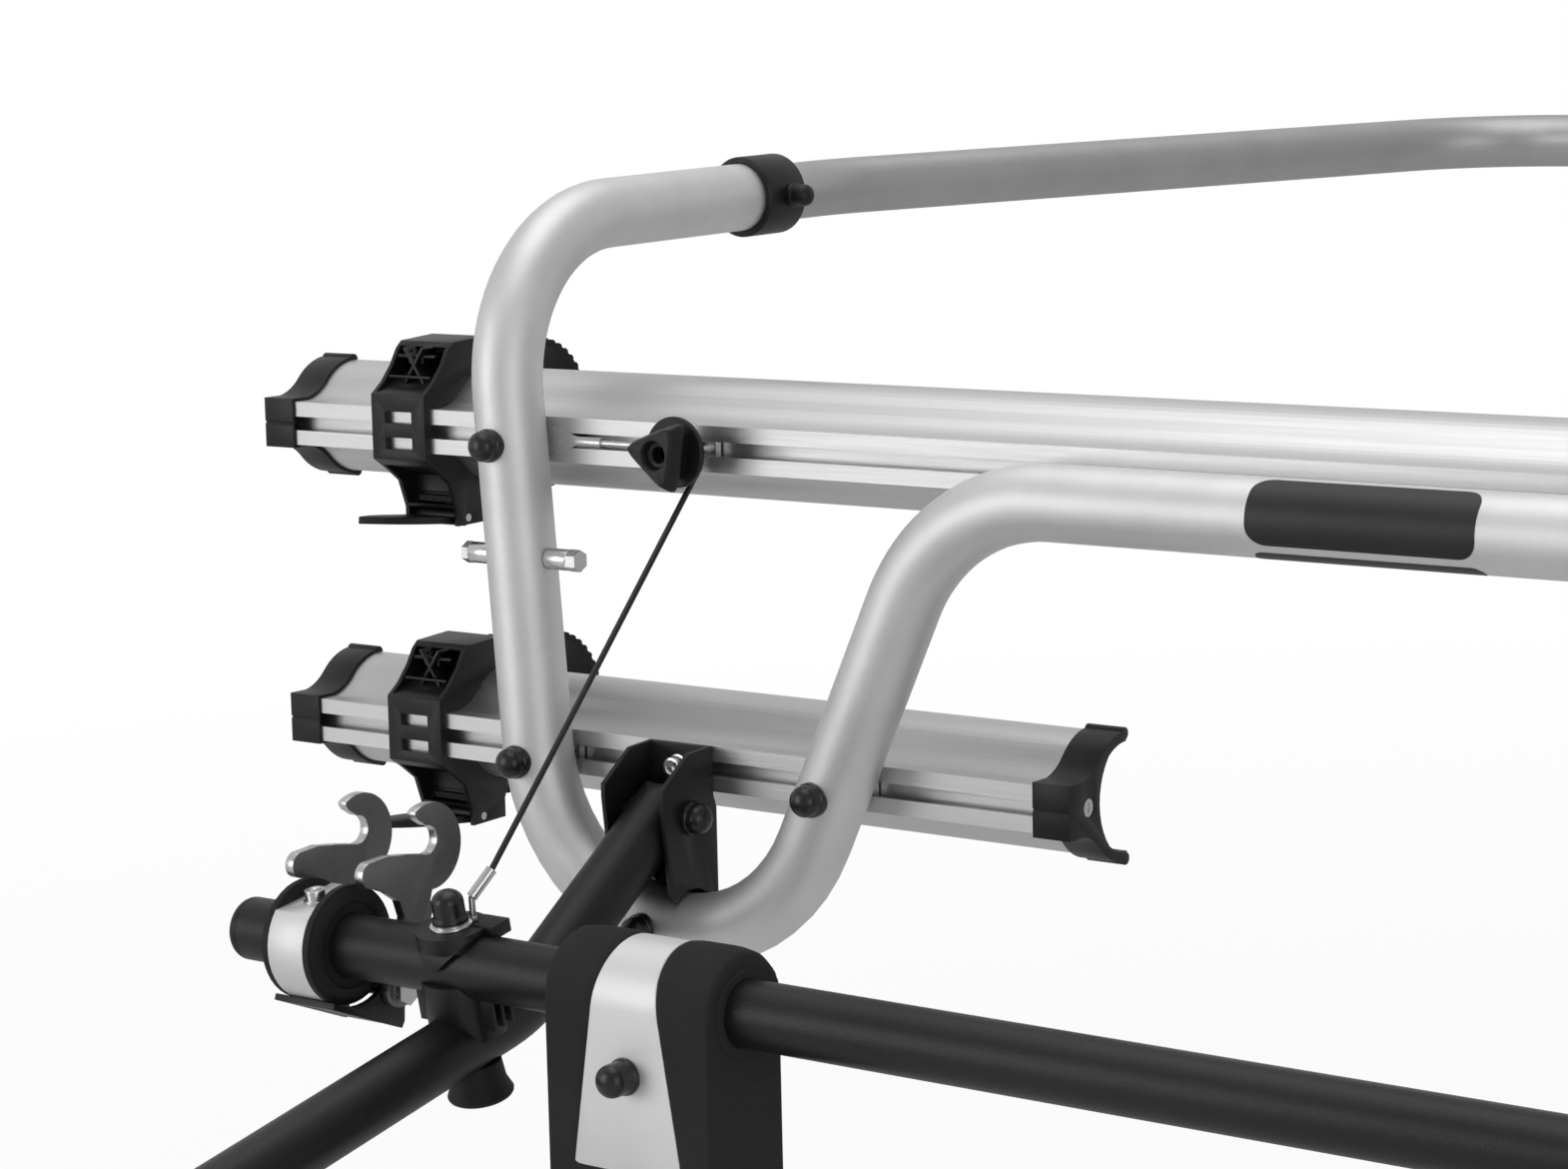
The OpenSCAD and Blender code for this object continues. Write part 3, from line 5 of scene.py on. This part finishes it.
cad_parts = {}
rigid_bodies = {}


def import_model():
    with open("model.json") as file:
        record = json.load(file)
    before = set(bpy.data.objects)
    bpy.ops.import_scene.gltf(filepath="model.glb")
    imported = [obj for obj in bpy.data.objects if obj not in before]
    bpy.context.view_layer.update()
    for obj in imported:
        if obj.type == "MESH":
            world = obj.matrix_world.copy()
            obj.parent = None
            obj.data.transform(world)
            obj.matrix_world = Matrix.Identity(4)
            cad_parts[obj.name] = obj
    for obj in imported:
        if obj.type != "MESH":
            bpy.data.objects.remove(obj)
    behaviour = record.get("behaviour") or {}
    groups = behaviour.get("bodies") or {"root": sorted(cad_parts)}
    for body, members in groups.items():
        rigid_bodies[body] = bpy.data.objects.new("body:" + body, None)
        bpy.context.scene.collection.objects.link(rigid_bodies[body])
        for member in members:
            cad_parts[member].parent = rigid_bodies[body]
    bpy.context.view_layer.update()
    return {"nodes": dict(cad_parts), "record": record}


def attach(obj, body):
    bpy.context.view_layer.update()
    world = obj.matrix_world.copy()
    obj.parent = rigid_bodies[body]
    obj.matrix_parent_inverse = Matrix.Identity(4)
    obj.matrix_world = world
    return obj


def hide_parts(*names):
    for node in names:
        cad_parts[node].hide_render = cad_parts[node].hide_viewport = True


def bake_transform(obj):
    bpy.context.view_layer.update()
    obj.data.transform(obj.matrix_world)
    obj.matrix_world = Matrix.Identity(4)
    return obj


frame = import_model()
nodes = frame["nodes"]
record = frame["record"]
nodeSlot = {s["node"]: s["material_slot"] for s in record["subparts"]}
nodeBody = {n: body for body, held in record["behaviour"]["bodies"].items() for n in held}
sides = (("left", -1), ("right", 1))
mm = 0.001
setBack, setUp = 420, 252.7  # where the line of the latch pins is in the frame, mm
scene = bpy.context.scene
scene.view_settings.view_transform = "Standard"

# camera at the photograph's viewing angle, with its turns in degrees
cameraView = {"place": (0.7522, -0.9852, 0.5111), "lens": 87.71, "sensor": 36,
              "turn": 37.08, "down": 8.43, "roll": 1.29}


def turned(degrees, axis):
    return Matrix.Rotation(math.radians(degrees), 4, axis)


camData = bpy.data.cameras.new("viewCamera")
camData.lens = cameraView["lens"]
camData.sensor_width = cameraView["sensor"]
camData.sensor_fit = "HORIZONTAL"
cam = bpy.data.objects.new("viewCamera", camData)
scene.collection.objects.link(cam)
cam.matrix_world = (Matrix.Translation(cameraView["place"]) @ turned(cameraView["turn"], "Z")
                    @ turned(90 - cameraView["down"], "X") @ turned(-cameraView["roll"], "Z"))
scene.camera = cam
print("camera set")


def place(x, y, z):  # a point in mm from the line of the latch pins, in metres
    return Vector((x * mm, (y + setBack) * mm, (z + setUp) * mm))


def camel(nodeName):
    first, *rest = nodeName.split("_")
    return first + "".join(word.title() for word in rest)


def deselectAll():
    if bpy.context.object and bpy.context.object.mode != "OBJECT":
        bpy.ops.object.mode_set(mode="OBJECT")
    for o in bpy.context.view_layer.objects:
        o.select_set(False)


def pick(obj):
    deselectAll()
    obj.select_set(True)
    bpy.context.view_layer.objects.active = obj


def settle(obj):  # puts a piece's place into its mesh
    pick(obj)
    bpy.ops.object.transform_apply(location=True, rotation=True, scale=True)


def applyAll(obj):
    pick(obj)
    for m in list(obj.modifiers):
        bpy.ops.object.modifier_apply(modifier=m.name)


def smooth(obj, angle):
    pick(obj)
    bpy.ops.object.shade_smooth_by_angle(angle=math.radians(angle))


def easeEdges(obj, width, angle=35, segments=2, corners="MITER_SHARP", smoothTo=38):
    edge = obj.modifiers.new("easedEdges", "BEVEL")
    edge.width = width * mm
    edge.segments = segments
    edge.limit_method = "ANGLE"
    edge.angle_limit = math.radians(angle)
    edge.miter_outer = corners
    applyAll(obj)
    smooth(obj, smoothTo)


@contextmanager
def wholeMesh(obj):  # edit mode with everything selected
    pick(obj)
    bpy.ops.object.mode_set(mode="EDIT")
    bpy.ops.mesh.select_all(action="SELECT")
    yield
    bpy.ops.object.mode_set(mode="OBJECT")


def joined(pieces, name):
    deselectAll()
    for piece in pieces:
        piece.select_set(True)
    bpy.context.view_layer.objects.active = pieces[0]
    bpy.ops.object.join()
    pieces[0].name = name
    return pieces[0]


def finished(obj, mat):
    obj.data.materials.clear()
    obj.data.materials.append(mat)


def fastened(obj, body, slotName, *replaced):
    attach(obj, body)
    if replaced:
        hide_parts(*replaced)


def standsFor(obj, nodeName):  # takes over a CAD node: hides it and puts the new piece on its body
    fastened(obj, nodeBody[nodeName], nodeSlot[nodeName], nodeName)


# materials
def newMaterial(name):
    m = bpy.data.materials.new(name)
    m.use_nodes = True
    tree = m.node_tree
    return m, tree, tree.nodes["Principled BSDF"]


def objectCoords(tree, scale):
    coords = tree.nodes.new("ShaderNodeTexCoord")
    mapping = tree.nodes.new("ShaderNodeMapping")
    mapping.inputs["Scale"].default_value = scale
    tree.links.new(coords.outputs["Object"], mapping.inputs["Vector"])
    return mapping.outputs["Vector"]


def noise(tree, vector, scale, detail):
    n = tree.nodes.new("ShaderNodeTexNoise")
    n.inputs["Scale"].default_value = scale
    n.inputs["Detail"].default_value = detail
    n.inputs["Roughness"].default_value = graining["rough"]
    tree.links.new(vector, n.inputs["Vector"])
    return n.outputs["Fac"]


def greyRamp(tree, fac, levels, stops=(0.3, 0.7)):
    r = tree.nodes.new("ShaderNodeValToRGB")
    for el, stop, level in zip(r.color_ramp.elements, stops, levels):
        el.position = stop
        el.color = (level, level, level, 1)
    tree.links.new(fac, r.inputs["Fac"])
    return r.outputs["Color"]


def bumpFrom(tree, height, strength, distance):
    b = tree.nodes.new("ShaderNodeBump")
    b.inputs["Strength"].default_value = strength
    b.inputs["Distance"].default_value = distance
    tree.links.new(height, b.inputs["Height"])
    return b.outputs["Normal"]


bare = {"metal": 1}  # bare metal
dark = {"metal": 0}  # plastic, rubber, foam and black coats
finishes = {
    "satinTube": {**bare, "colour": (0.71, 0.77), "rough": (0.50, 0.56), "grain": 2600, "bump": 0.10},
    # the hoop's satin is the tube's satin with its colour lowered: painted shade for the hoop, which gets less
    # light
    "satinHoop": {**bare, "colour": (0.47, 0.52), "rough": (0.45, 0.51), "grain": 2600, "bump": 0.10},
    "satinRail": {**bare, "colour": (0.60, 0.68), "rough": (0.38, 0.46), "grain": 900, "bump": 0.12,
                  "stretch": (0.02, 1, 1)},
    "strapAluminium": {**bare, "colour": (0.76, 0.82), "rough": (0.54, 0.62), "grain": 1800, "bump": 0.06},
    "blackSteel": {**dark, "colour": (0.006, 0.010), "rough": (0.36, 0.44), "grain": 1300, "bump": 0.34,
                   "specular": 0.38},
    "blackPlastic": {**dark, "colour": (0.006, 0.010), "rough": (0.36, 0.48), "grain": 2200, "bump": 0.14,
                     "specular": 0.36},
    "capPlastic": {**dark, "colour": (0.007, 0.011), "rough": (0.24, 0.34), "grain": 1800, "bump": 0.08},
    "blackRubber": {**dark, "colour": (0.008, 0.013), "rough": (0.55, 0.7), "grain": 1300, "bump": 0.25,
                    "specular": 0.3},
    "blackFoam": {**dark, "colour": (0.020, 0.031), "rough": (0.75, 0.9), "grain": 1100, "bump": 0.4,
                  "specular": 0.2},
    "zincSteel": {**bare, "colour": (0.64, 0.72), "rough": (0.22, 0.3), "grain": 260, "bump": 0.015},
    "clawSteel": {"metal": 0.75, "colour": (0.18, 0.25), "rough": (0.46, 0.58), "grain": 700, "bump": 0.16},
    "cutSteel": {**bare, "colour": (0.52, 0.68), "rough": (0.24, 0.4), "grain": 900, "bump": 0.2,
                 "stretch": (0.05, 1, 1)},
    "wireCoat": {**dark, "colour": (0.008, 0.013), "rough": (0.22, 0.32), "grain": 900, "bump": 0.05},
    "labelFilm": {**dark, "colour": (0.007, 0.011), "rough": (0.42, 0.5), "grain": 2400, "bump": 0.10},
}
graining = {"fineDetail": 4, "broadDetail": 3, "broader": 90, "rough": 0.55, "depth": 0.0004}


def makeFinish(name, f):
    m, tree, bsdf = newMaterial(name)
    vector = objectCoords(tree, f.get("stretch", (1, 1, 1)))
    fine = noise(tree, vector, f["grain"], graining["fineDetail"])
    broad = noise(tree, vector, f["grain"] / graining["broader"], graining["broadDetail"])
    tree.links.new(greyRamp(tree, broad, f["colour"]), bsdf.inputs["Base Color"])
    tree.links.new(greyRamp(tree, fine, f["rough"]), bsdf.inputs["Roughness"])
    bsdf.inputs["Metallic"].default_value = f["metal"]
    bsdf.inputs["Specular IOR Level"].default_value = f.get("specular", 0.5)
    tree.links.new(bumpFrom(tree, fine, f["bump"], graining["depth"]), bsdf.inputs["Normal"])
    return m


materials = {name: makeFinish(name, f) for name, f in finishes.items()}
for nodeName, o in nodes.items():
    finished(o, materials[camel(nodeSlot[nodeName])])
print("materials made")


# stay wires, made before the other pieces
def curveTube(name, points, radius, resolution, mat, smoothTo=50):
    data = bpy.data.curves.new(name, "CURVE")
    data.dimensions = "3D"
    data.bevel_depth = radius
    data.bevel_resolution = resolution
    data.use_fill_caps = True
    line = data.splines.new("POLY")
    line.points.add(len(points) - 1)
    for dot, at in zip(line.points, points):
        dot.co = (*at, 1)
    obj = bpy.data.objects.new(name, data)
    scene.collection.objects.link(obj)
    pick(obj)
    bpy.ops.object.convert(target="MESH")
    obj = bpy.context.object
    obj.name = name
    obj.data.name = name
    finished(obj, mat)
    smooth(obj, smoothTo)
    return obj


# its points are the right wire's, from the knob bolt down to the lower crimp
stayWire = {"thick": 0.003, "steps": 6, "roundness": 4,
            "points": [(369.8, 15, 47.5), (371.3, -22, 6.5), (372.8, -59.5, -35), (374.4, -98, -77.5),
                       (376, -136.6, -119.6)]}
for side, sign in sides:
    route = [place(sign * x, y, z) for x, y, z in stayWire["points"]]
    run = [a.lerp(b, k / stayWire["steps"])
           for a, b in zip(route, route[1:]) for k in range(stayWire["steps"])] + [route[-1]]
    wire = curveTube(side + "StayWire", run, stayWire["thick"] / 2, stayWire["roundness"],
                     materials["wireCoat"])
    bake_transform(wire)
    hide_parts(side + "_stay_wire")
print("stay wires made")


# bent tubes
def bentLine(corners, radii, steps=22):  # corner points rounded with true arcs
    line = [corners[0]]
    for a, b, c, r in zip(corners, corners[1:], corners[2:], radii):
        u, v = (b - a).normalized(), (c - b).normalized()
        turn = u.angle(v)
        centre = b + (v - u).normalized() * r / math.cos(turn / 2)
        first = b - u * r * math.tan(turn / 2) - centre
        axis = u.cross(v).normalized()
        line += [centre + Matrix.Rotation(turn * k / steps, 3, axis) @ first for k in range(steps + 1)]
    return line + [corners[-1]]


tubes = {"legSlope": 0.0699268, "legHalf": 470.7, "diagonalSlope": 0.45889, "diagonalHalf": 238.5,
         "footZ": -439.1, "middleZ": 44.4, "topZ": 161.4, "rise": 0.024439, "toe": 0.038416, "endRun": 197,
         "frameR": 88.7, "topR": 85, "frameOd": 35, "frameRoundness": 14, "hoopOd": 30, "hoopRoundness": 13,
         "hoopKnee": 265, "hoopReach": 660, "hoopHalf": 285, "hoopFrom": 140, "hoopKneeR": 120,
         "hoopCornerR": 85}


def legX(z):
    return -tubes["legHalf"] - tubes["legSlope"] * z


def endAt(y):
    return (legX(tubes["topZ"]) + tubes["toe"] * y, y, tubes["topZ"] + tubes["rise"] * y)


def bentTube(nodeName, kind, half, radii, mat):  # half holds the left side's corners, in mm
    corners = [place(*p) for p in half] + [place(-p[0], p[1], p[2]) for p in reversed(half)]
    line = bentLine(corners, [r * mm for r in radii + radii[::-1]])
    standsFor(curveTube(camel(nodeName), line, tubes[kind + "Od"] / 2 * mm, tubes[kind + "Roundness"], mat),
              nodeName)


bentTube("frame_tube", "frame",
         [endAt(tubes["endRun"]), (legX(tubes["topZ"]), 0, tubes["topZ"]),
          (legX(tubes["footZ"]), 0, tubes["footZ"]),
          (-tubes["diagonalHalf"] + tubes["diagonalSlope"] * tubes["middleZ"], 0, tubes["middleZ"])],
         [tubes["topR"], tubes["frameR"], tubes["frameR"]], materials["satinTube"])
# the hoop takes the darker satin, its colour lowered as painted shade
bentTube("hoop_tube", "hoop",
         [endAt(tubes["hoopFrom"]), endAt(tubes["hoopKnee"]),
          (-tubes["hoopHalf"], tubes["hoopReach"], endAt(tubes["hoopReach"])[2])],
         [tubes["hoopKneeR"], tubes["hoopCornerR"]], materials["satinHoop"])
print("bent tubes made")

# the CAD's own shapes with their edges eased, as the moulded and cut pieces have them
welding = {"distance": 0.00002, "flat": 1, "turnedDistance": 0.000001}


def merged(nodeName):
    mesh = nodes[nodeName].data.copy()
    mesh.name = camel(nodeName)
    obj = bpy.data.objects.new(camel(nodeName), mesh)
    scene.collection.objects.link(obj)
    pick(obj)
    if mesh.has_custom_normals:
        bpy.ops.mesh.customdata_custom_splitnormals_clear()
    with wholeMesh(obj):
        bpy.ops.mesh.remove_doubles(threshold=welding["distance"])
        bpy.ops.mesh.dissolve_limited(angle_limit=math.radians(welding["flat"]))
    return obj


def eased(nodeName, width):
    obj = merged(nodeName)
    easeEdges(obj, width, 32, corners="MITER_ARC")
    if "cap" in nodeName and "end_cap" not in nodeName:
        obj.data.materials[0] = materials["capPlastic"]
    standsFor(obj, nodeName)
    return obj


# each node's edge width in mm
edgeWidths = {
    "rail_end_caps": 0.45, "hoop_collars": 0.5, "bolt_caps": 0.3, "left_hinge_bracket": 0.5,
    "right_hinge_bracket": 0.5, "upper_saddles": 0.8, "lower_saddles": 0.8, "saddle_feet": 0.8,
    "saddle_washers": 0.35, "base_cap_nuts": 0.3, "tube_end_caps": 0.8, "clamp_rings": 0.7,
    "clamp_bands": 0.25, "clamp_screws": 0.3, "latch_brackets": 0.4, "latch_pin_spacers": 0.3,
    "bracket_screws": 0.2,
}
for level in ("upper", "lower"):
    for side, _ in sides:
        edgeWidths[f"{level}_{side}_strap_holder"] = 0.5
        edgeWidths[f"{level}_{side}_lever"] = 0.8
for nodeName, width in edgeWidths.items():
    eased(nodeName, width)
print("edges eased")

# pad straps: thin plates that hug the foam and run on to the recess's end
padStrap = {"low": -230.5, "within": 0.5, "carryOn": 4, "edge": 0.4, "edgeAngle": 50, "smoothTo": 12}
strap = merged("pad_straps")
for v in strap.data.vertices:
    if v.co.z < (padStrap["low"] + padStrap["within"] + setUp) * mm:
        v.co.z -= padStrap["carryOn"] * mm
with wholeMesh(strap):
    bpy.ops.mesh.quads_convert_to_tris()
easeEdges(strap, padStrap["edge"], padStrap["edgeAngle"], 1, smoothTo=padStrap["smoothTo"])
standsFor(strap, "pad_straps")
print("pad straps made")

# latch claws, with bright edges where the plate was cut
clawPlate = {"edge": 0.4, "edgeOn": 0.35}
for side, _ in sides:
    claw = eased(side + "_latch_claws", clawPlate["edge"])
    claw.data.materials.append(materials["cutSteel"])
    for face in claw.data.polygons:
        if abs(face.normal.x) < clawPlate["edgeOn"]:
            face.material_index = 1
print("latch claws made")

# foam pads: firm foam with its edges rounded
foamPad = {"voxel": 2.0, "rounding": 11, "softness": 0.5, "smoothTo": 60, "x": 269.5, "y": -148.1, "z": -162.5,
           "step": 39.5, "stepScale": 0.972}
for side, sign in sides:
    pad = merged(side + "_foam_pad")
    skin = pad.modifiers.new("skin", "REMESH")
    skin.mode = "VOXEL"
    skin.voxel_size = foamPad["voxel"] * mm
    applyAll(pad)
    middle = place(sign * foamPad["x"], foamPad["y"], foamPad["z"])
    for v in pad.data.vertices:  # the outer strip of each side steps in
        if abs(v.co.x - middle.x) > foamPad["step"] * mm:
            v.co.y = middle.y + (v.co.y - middle.y) * foamPad["stepScale"]
            if v.co.z > middle.z:
                v.co.z = middle.z + (v.co.z - middle.z) * foamPad["stepScale"]
    soft = pad.modifiers.new("rounding", "SMOOTH")
    soft.factor = foamPad["softness"]
    soft.iterations = foamPad["rounding"]
    applyAll(pad)
    smooth(pad, foamPad["smoothTo"])
    standsFor(pad, side + "_foam_pad")
print("pads made")


# turned and lobed shapes: rings of one outline, each a step along the axis from the last
def ringStack(name, centre, axis, rings, mat, count, hollow=False, smoothTo=32):
    deselectAll()
    bpy.ops.mesh.primitive_circle_add(vertices=count, radius=1, fill_type="NOTHING" if hollow else "NGON")
    obj = bpy.context.object
    obj.name = name
    obj.data.name = name
    with wholeMesh(obj):
        for i, (height, radius) in enumerate(rings):
            if i and hollow:
                bpy.ops.mesh.extrude_edges_move()
            elif i:
                bpy.ops.mesh.extrude_region_move()
            shape = bmesh.from_edit_mesh(obj.data)
            for v in shape.verts:
                if v.select:
                    angle = math.atan2(v.co.y, v.co.x)
                    reach = (radius(angle) if callable(radius) else radius) * mm
                    v.co = (reach * math.cos(angle), reach * math.sin(angle), height * mm)
            bmesh.update_edit_mesh(obj.data)
        bpy.ops.mesh.select_all(action="SELECT")
        bpy.ops.mesh.remove_doubles(threshold=welding["turnedDistance"])
        bpy.ops.mesh.normals_make_consistent(inside=False)
    facing = Vector((0, 0, 1)).rotation_difference(Vector(axis)).to_matrix().to_4x4()
    obj.matrix_world = Matrix.Translation(centre) @ facing
    settle(obj)
    finished(obj, mat)
    smooth(obj, smoothTo)
    return obj


# three-lobed knobs: a round flange, a lobed body in shares of the full outline, and a stepped bore
# whose heights run from the front face
knob = {"x": 373, "y": 2.2, "z": 56.1, "firstLobe": 50, "flat": 11.2, "tip": 19.4, "roundness": 9,
        "depth": 19, "count": 144, "edge": 0.25, "edgeAngle": 40,
        "flange": ((-10, 7.8), (-0.2, 7.8), (0, 16), (0.8, 17), (2.6, 17), (3.2, 16.2)),
        "body": ((3.2, 0.70), (9.4, 0.74), (10, 0.96), (11, 1.0), (13.5, 0.98), (18, 0.86), (19, 0.76)),
        "bore": ((0, 7.4), (-0.5, 6.9), (-4.2, 5.9), (-4.4, 4.1), (-5, 3.7), (-9, 3.5))}


def lobes(grow, lobe):  # a triangle with slightly hollow sides and its corners cut round
    def reach(angle):
        off = (angle - lobe + math.pi / 3) % (math.pi * 2 / 3) - math.pi / 3
        flat = knob["flat"] / math.cos(math.pi / 3 - abs(off))
        power = knob["roundness"]
        return grow * (flat ** -power + knob["tip"] ** -power) ** (-1 / power)
    return reach


for side, sign in sides:
    firstLobe = math.radians(knob["firstLobe"])
    lobe = firstLobe if side == "left" else math.pi - firstLobe
    stack = [*knob["flange"], *((height, lobes(grow, lobe)) for height, grow in knob["body"]),
             *((knob["depth"] + height, radius) for height, radius in knob["bore"])]
    piece = ringStack(side + "Knob", place(sign * knob["x"], knob["y"], knob["z"]), (0, -1, 0), stack,
                      materials["blackPlastic"], knob["count"])
    easeEdges(piece, knob["edge"], knob["edgeAngle"])
    standsFor(piece, side + "_knob")
print("knobs made")

# stepped collars where the cross tube leaves the pads and the clamps
collars = {"y": -148.1, "z": -162.5, "count": 64}
collarKinds = {
    "PadCollar": {"x": 269.5, "half": 45.5, "finish": "blackFoam", "slot": "black_foam",
                  "rings": [(-6, 15.2), (-6, 19.6), (-0.2, 19.4), (0.5, 18.6), (0.5, 15.2), (-6, 15.2)]},
    "ClampLip": {"x": 470.2, "half": 14.75, "finish": "blackRubber", "slot": "black_rubber",
                 "rings": [(-1, 15.2), (-1, 27.4), (0.2, 27.3), (1.9, 24.6), (2.4, 20.6), (1.5, 19.6),
                           (1.5, 15.2), (-1, 15.2)]},
}
for side, sign in sides:
    for face, way in (("Inner", -sign), ("Outer", sign)):
        for kind, c in collarKinds.items():
            at = place(sign * c["x"] + way * c["half"], collars["y"], collars["z"])
            fastened(ringStack(side + face + kind, at, (way, 0, 0), c["rings"], materials[c["finish"]],
                               collars["count"], hollow=True), "drawbar_frame", c["slot"])
print("collars made")

# plain dark films on the middle run, with rounded corners; the spans are angles around the tube
film = {"half": 53.4, "up": 44.4, "radius": 17.62, "thick": 0.24, "corner": 9, "cornerShort": 0.5,
        "along": 48, "around": 22, "smoothTo": 40, "spans": ((-34, 75), (-84, -50))}
filmPieces = []
for low, high in film["spans"]:
    halfSpan = math.radians(high - low) / 2
    deselectAll()
    bpy.ops.mesh.primitive_grid_add(x_subdivisions=film["along"], y_subdivisions=film["around"], size=2)
    sheet = bpy.context.object
    corner = min(film["corner"], halfSpan * film["radius"] - film["cornerShort"])
    for v in sheet.data.vertices:
        x = film["half"] * math.sin(v.co.x * math.pi / 2)
        past = max(0, abs(x) - film["half"] + corner)
        inset = (corner - math.sqrt(max(0, corner ** 2 - past ** 2))) / film["radius"]
        angle = math.radians((low + high) / 2) + v.co.y * (halfSpan - inset)
        v.co = place(x, -film["radius"] * math.cos(angle), film["up"] + film["radius"] * math.sin(angle))
    skin = sheet.modifiers.new("thickness", "SOLIDIFY")
    skin.thickness = film["thick"] * mm
    skin.offset = -1
    applyAll(sheet)
    filmPieces.append(sheet)
films = joined(filmPieces, "labelFilms")
films.data.name = "labelFilms"
with wholeMesh(films):
    bpy.ops.mesh.normals_make_consistent(inside=False)
finished(films, materials["labelFilm"])
smooth(films, film["smoothTo"])
standsFor(films, "label_films")
print("films made")

# small bars across the mouth of each strap holder's upper box, as place and size
holderBars = {"at": {"upper": (563, 56.1), "lower": (559.5, -99.2)}, "edge": 0.3,
              "bars": (((0, 30.5, 36.5), (25, 2.2, 1.4)), ((-4.2, 30.2, 36.5), (1.5, 2.2, 7.5)),
                       ((4.2, 30.2, 36.5), (1.5, 2.2, 7.5)), ((0, 24.5, 26.4), (28, 1.6, 1.4)))}
for level, (middleX, railZ) in holderBars["at"].items():
    for side, sign in sides:
        grid = []
        for (x, y, z), size in holderBars["bars"]:
            deselectAll()
            bpy.ops.mesh.primitive_cube_add(size=1, location=place(sign * middleX + x, y, railZ + z),
                                            scale=[v * mm for v in size])
            settle(bpy.context.object)
            grid.append(bpy.context.object)
        bars = joined(grid, level + side.title() + "HolderBars")
        finished(bars, materials["blackPlastic"])
        easeEdges(bars, holderBars["edge"])
        fastened(bars, "tray_frame", "black_plastic")
print("holder bars made")

# studio: reflections see a soft grey room, brighter towards one side, and the camera sees white
studio = {"worldLight": 0.4, "gloss": (0.42, 0.66), "glossAim": (-0.6, 0.8, 0.0), "glossFade": (-0.35, 0.25),
          "floorSize": 14, "floorPlace": (0, 1.5, -0.62), "floorGrey": 0.85, "floorRough": 0.8,
          "floorGlow": (0.92, 1.0), "floorFade": (1.2, 4.5)}


def fade(tree, value, spread, levels):
    r = tree.nodes.new("ShaderNodeMapRange")
    r.inputs["From Min"].default_value, r.inputs["From Max"].default_value = spread
    r.inputs["To Min"].default_value, r.inputs["To Max"].default_value = levels
    tree.links.new(value, r.inputs["Value"])
    return r


def combined(tree, operation, first, second):
    m = tree.nodes.new("ShaderNodeMath")
    m.operation = operation
    tree.links.new(first, m.inputs[0])
    tree.links.new(second, m.inputs[1])
    return m.outputs[0]


def chosen(tree, factor):
    m = tree.nodes.new("ShaderNodeMix")
    m.data_type = "FLOAT"
    tree.links.new(factor, m.inputs["Factor"])
    return m


world = bpy.data.worlds.new("studio")
scene.world = world
world.use_nodes = True
wt = world.node_tree
background = wt.nodes["Background"]
rays = wt.nodes.new("ShaderNodeLightPath").outputs
glossy = chosen(wt, rays["Is Glossy Ray"])
glossy.inputs["A"].default_value = studio["worldLight"]
dot = wt.nodes.new("ShaderNodeVectorMath")
dot.operation = "DOT_PRODUCT"
wt.links.new(wt.nodes.new("ShaderNodeTexCoord").outputs["Generated"], dot.inputs[0])
dot.inputs[1].default_value = studio["glossAim"]
room = fade(wt, dot.outputs["Value"], studio["glossFade"], studio["gloss"])
room.interpolation_type = "SMOOTHSTEP"
wt.links.new(room.outputs["Result"], glossy.inputs["B"])
seen = chosen(wt, combined(wt, "MAXIMUM", rays["Is Camera Ray"], rays["Is Transmission Ray"]))
wt.links.new(glossy.outputs["Result"], seen.inputs["A"])
seen.inputs["B"].default_value = 1.0
wt.links.new(seen.outputs["Result"], background.inputs["Strength"])
background.inputs["Color"].default_value = (1, 1, 1, 1)

# each lamp's place, aim, size and power
aimAt = (-0.3, 0.4, 0.2)
lamps = {
    "overhead": ((-0.5, 0.3, 2.3), aimAt, (2.4, 1.6), 14),
    "frontLeft": ((-1.9, -2.1, 0.7), aimAt, (1.5, 1.8), 19),
    "frontRight": ((2.3, -1.3, 0.5), (-0.2, 0.3, 0.2), (1.6, 2.0), 13),
}
for lampName, (at, aim, size, power) in lamps.items():
    data = bpy.data.lights.new(lampName, "AREA")
    data.shape = "RECTANGLE"
    data.size, data.size_y = size
    data.energy = power
    lamp = bpy.data.objects.new(lampName, data)
    scene.collection.objects.link(lamp)
    lamp.location = at
    lamp.rotation_euler = (Vector(aim) - Vector(at)).to_track_quat("-Z", "Y").to_euler()

deselectAll()
bpy.ops.mesh.primitive_plane_add(size=studio["floorSize"], location=studio["floorPlace"])
floor = bpy.context.object
floor.name = "studioFloor"
paleFloor, ft, fb = newMaterial("paleFloor")
fb.inputs["Base Color"].default_value = (studio["floorGrey"],) * 3 + (1,)
fb.inputs["Roughness"].default_value = studio["floorRough"]
glow = ft.nodes.new("ShaderNodeEmission")
glow.inputs["Strength"].default_value = 1.0
farOff = ft.nodes.new("ShaderNodeVectorMath")
farOff.operation = "LENGTH"
ft.links.new(ft.nodes.new("ShaderNodeTexCoord").outputs["Object"], farOff.inputs[0])
# the shadow's ground fades to plain white far off
ground = fade(ft, farOff.outputs["Value"], studio["floorFade"], studio["floorGlow"])
cameraRay = ft.nodes.new("ShaderNodeLightPath").outputs["Is Camera Ray"]
blended = ft.nodes.new("ShaderNodeMixShader")
ft.links.new(combined(ft, "MULTIPLY", cameraRay, ground.outputs["Result"]), blended.inputs["Fac"])
ft.links.new(fb.outputs["BSDF"], blended.inputs[1])
ft.links.new(glow.outputs["Emission"], blended.inputs[2])
ft.links.new(blended.outputs["Shader"], ft.nodes["Material Output"].inputs["Surface"])
floor.data.materials.append(paleFloor)
print("studio built")
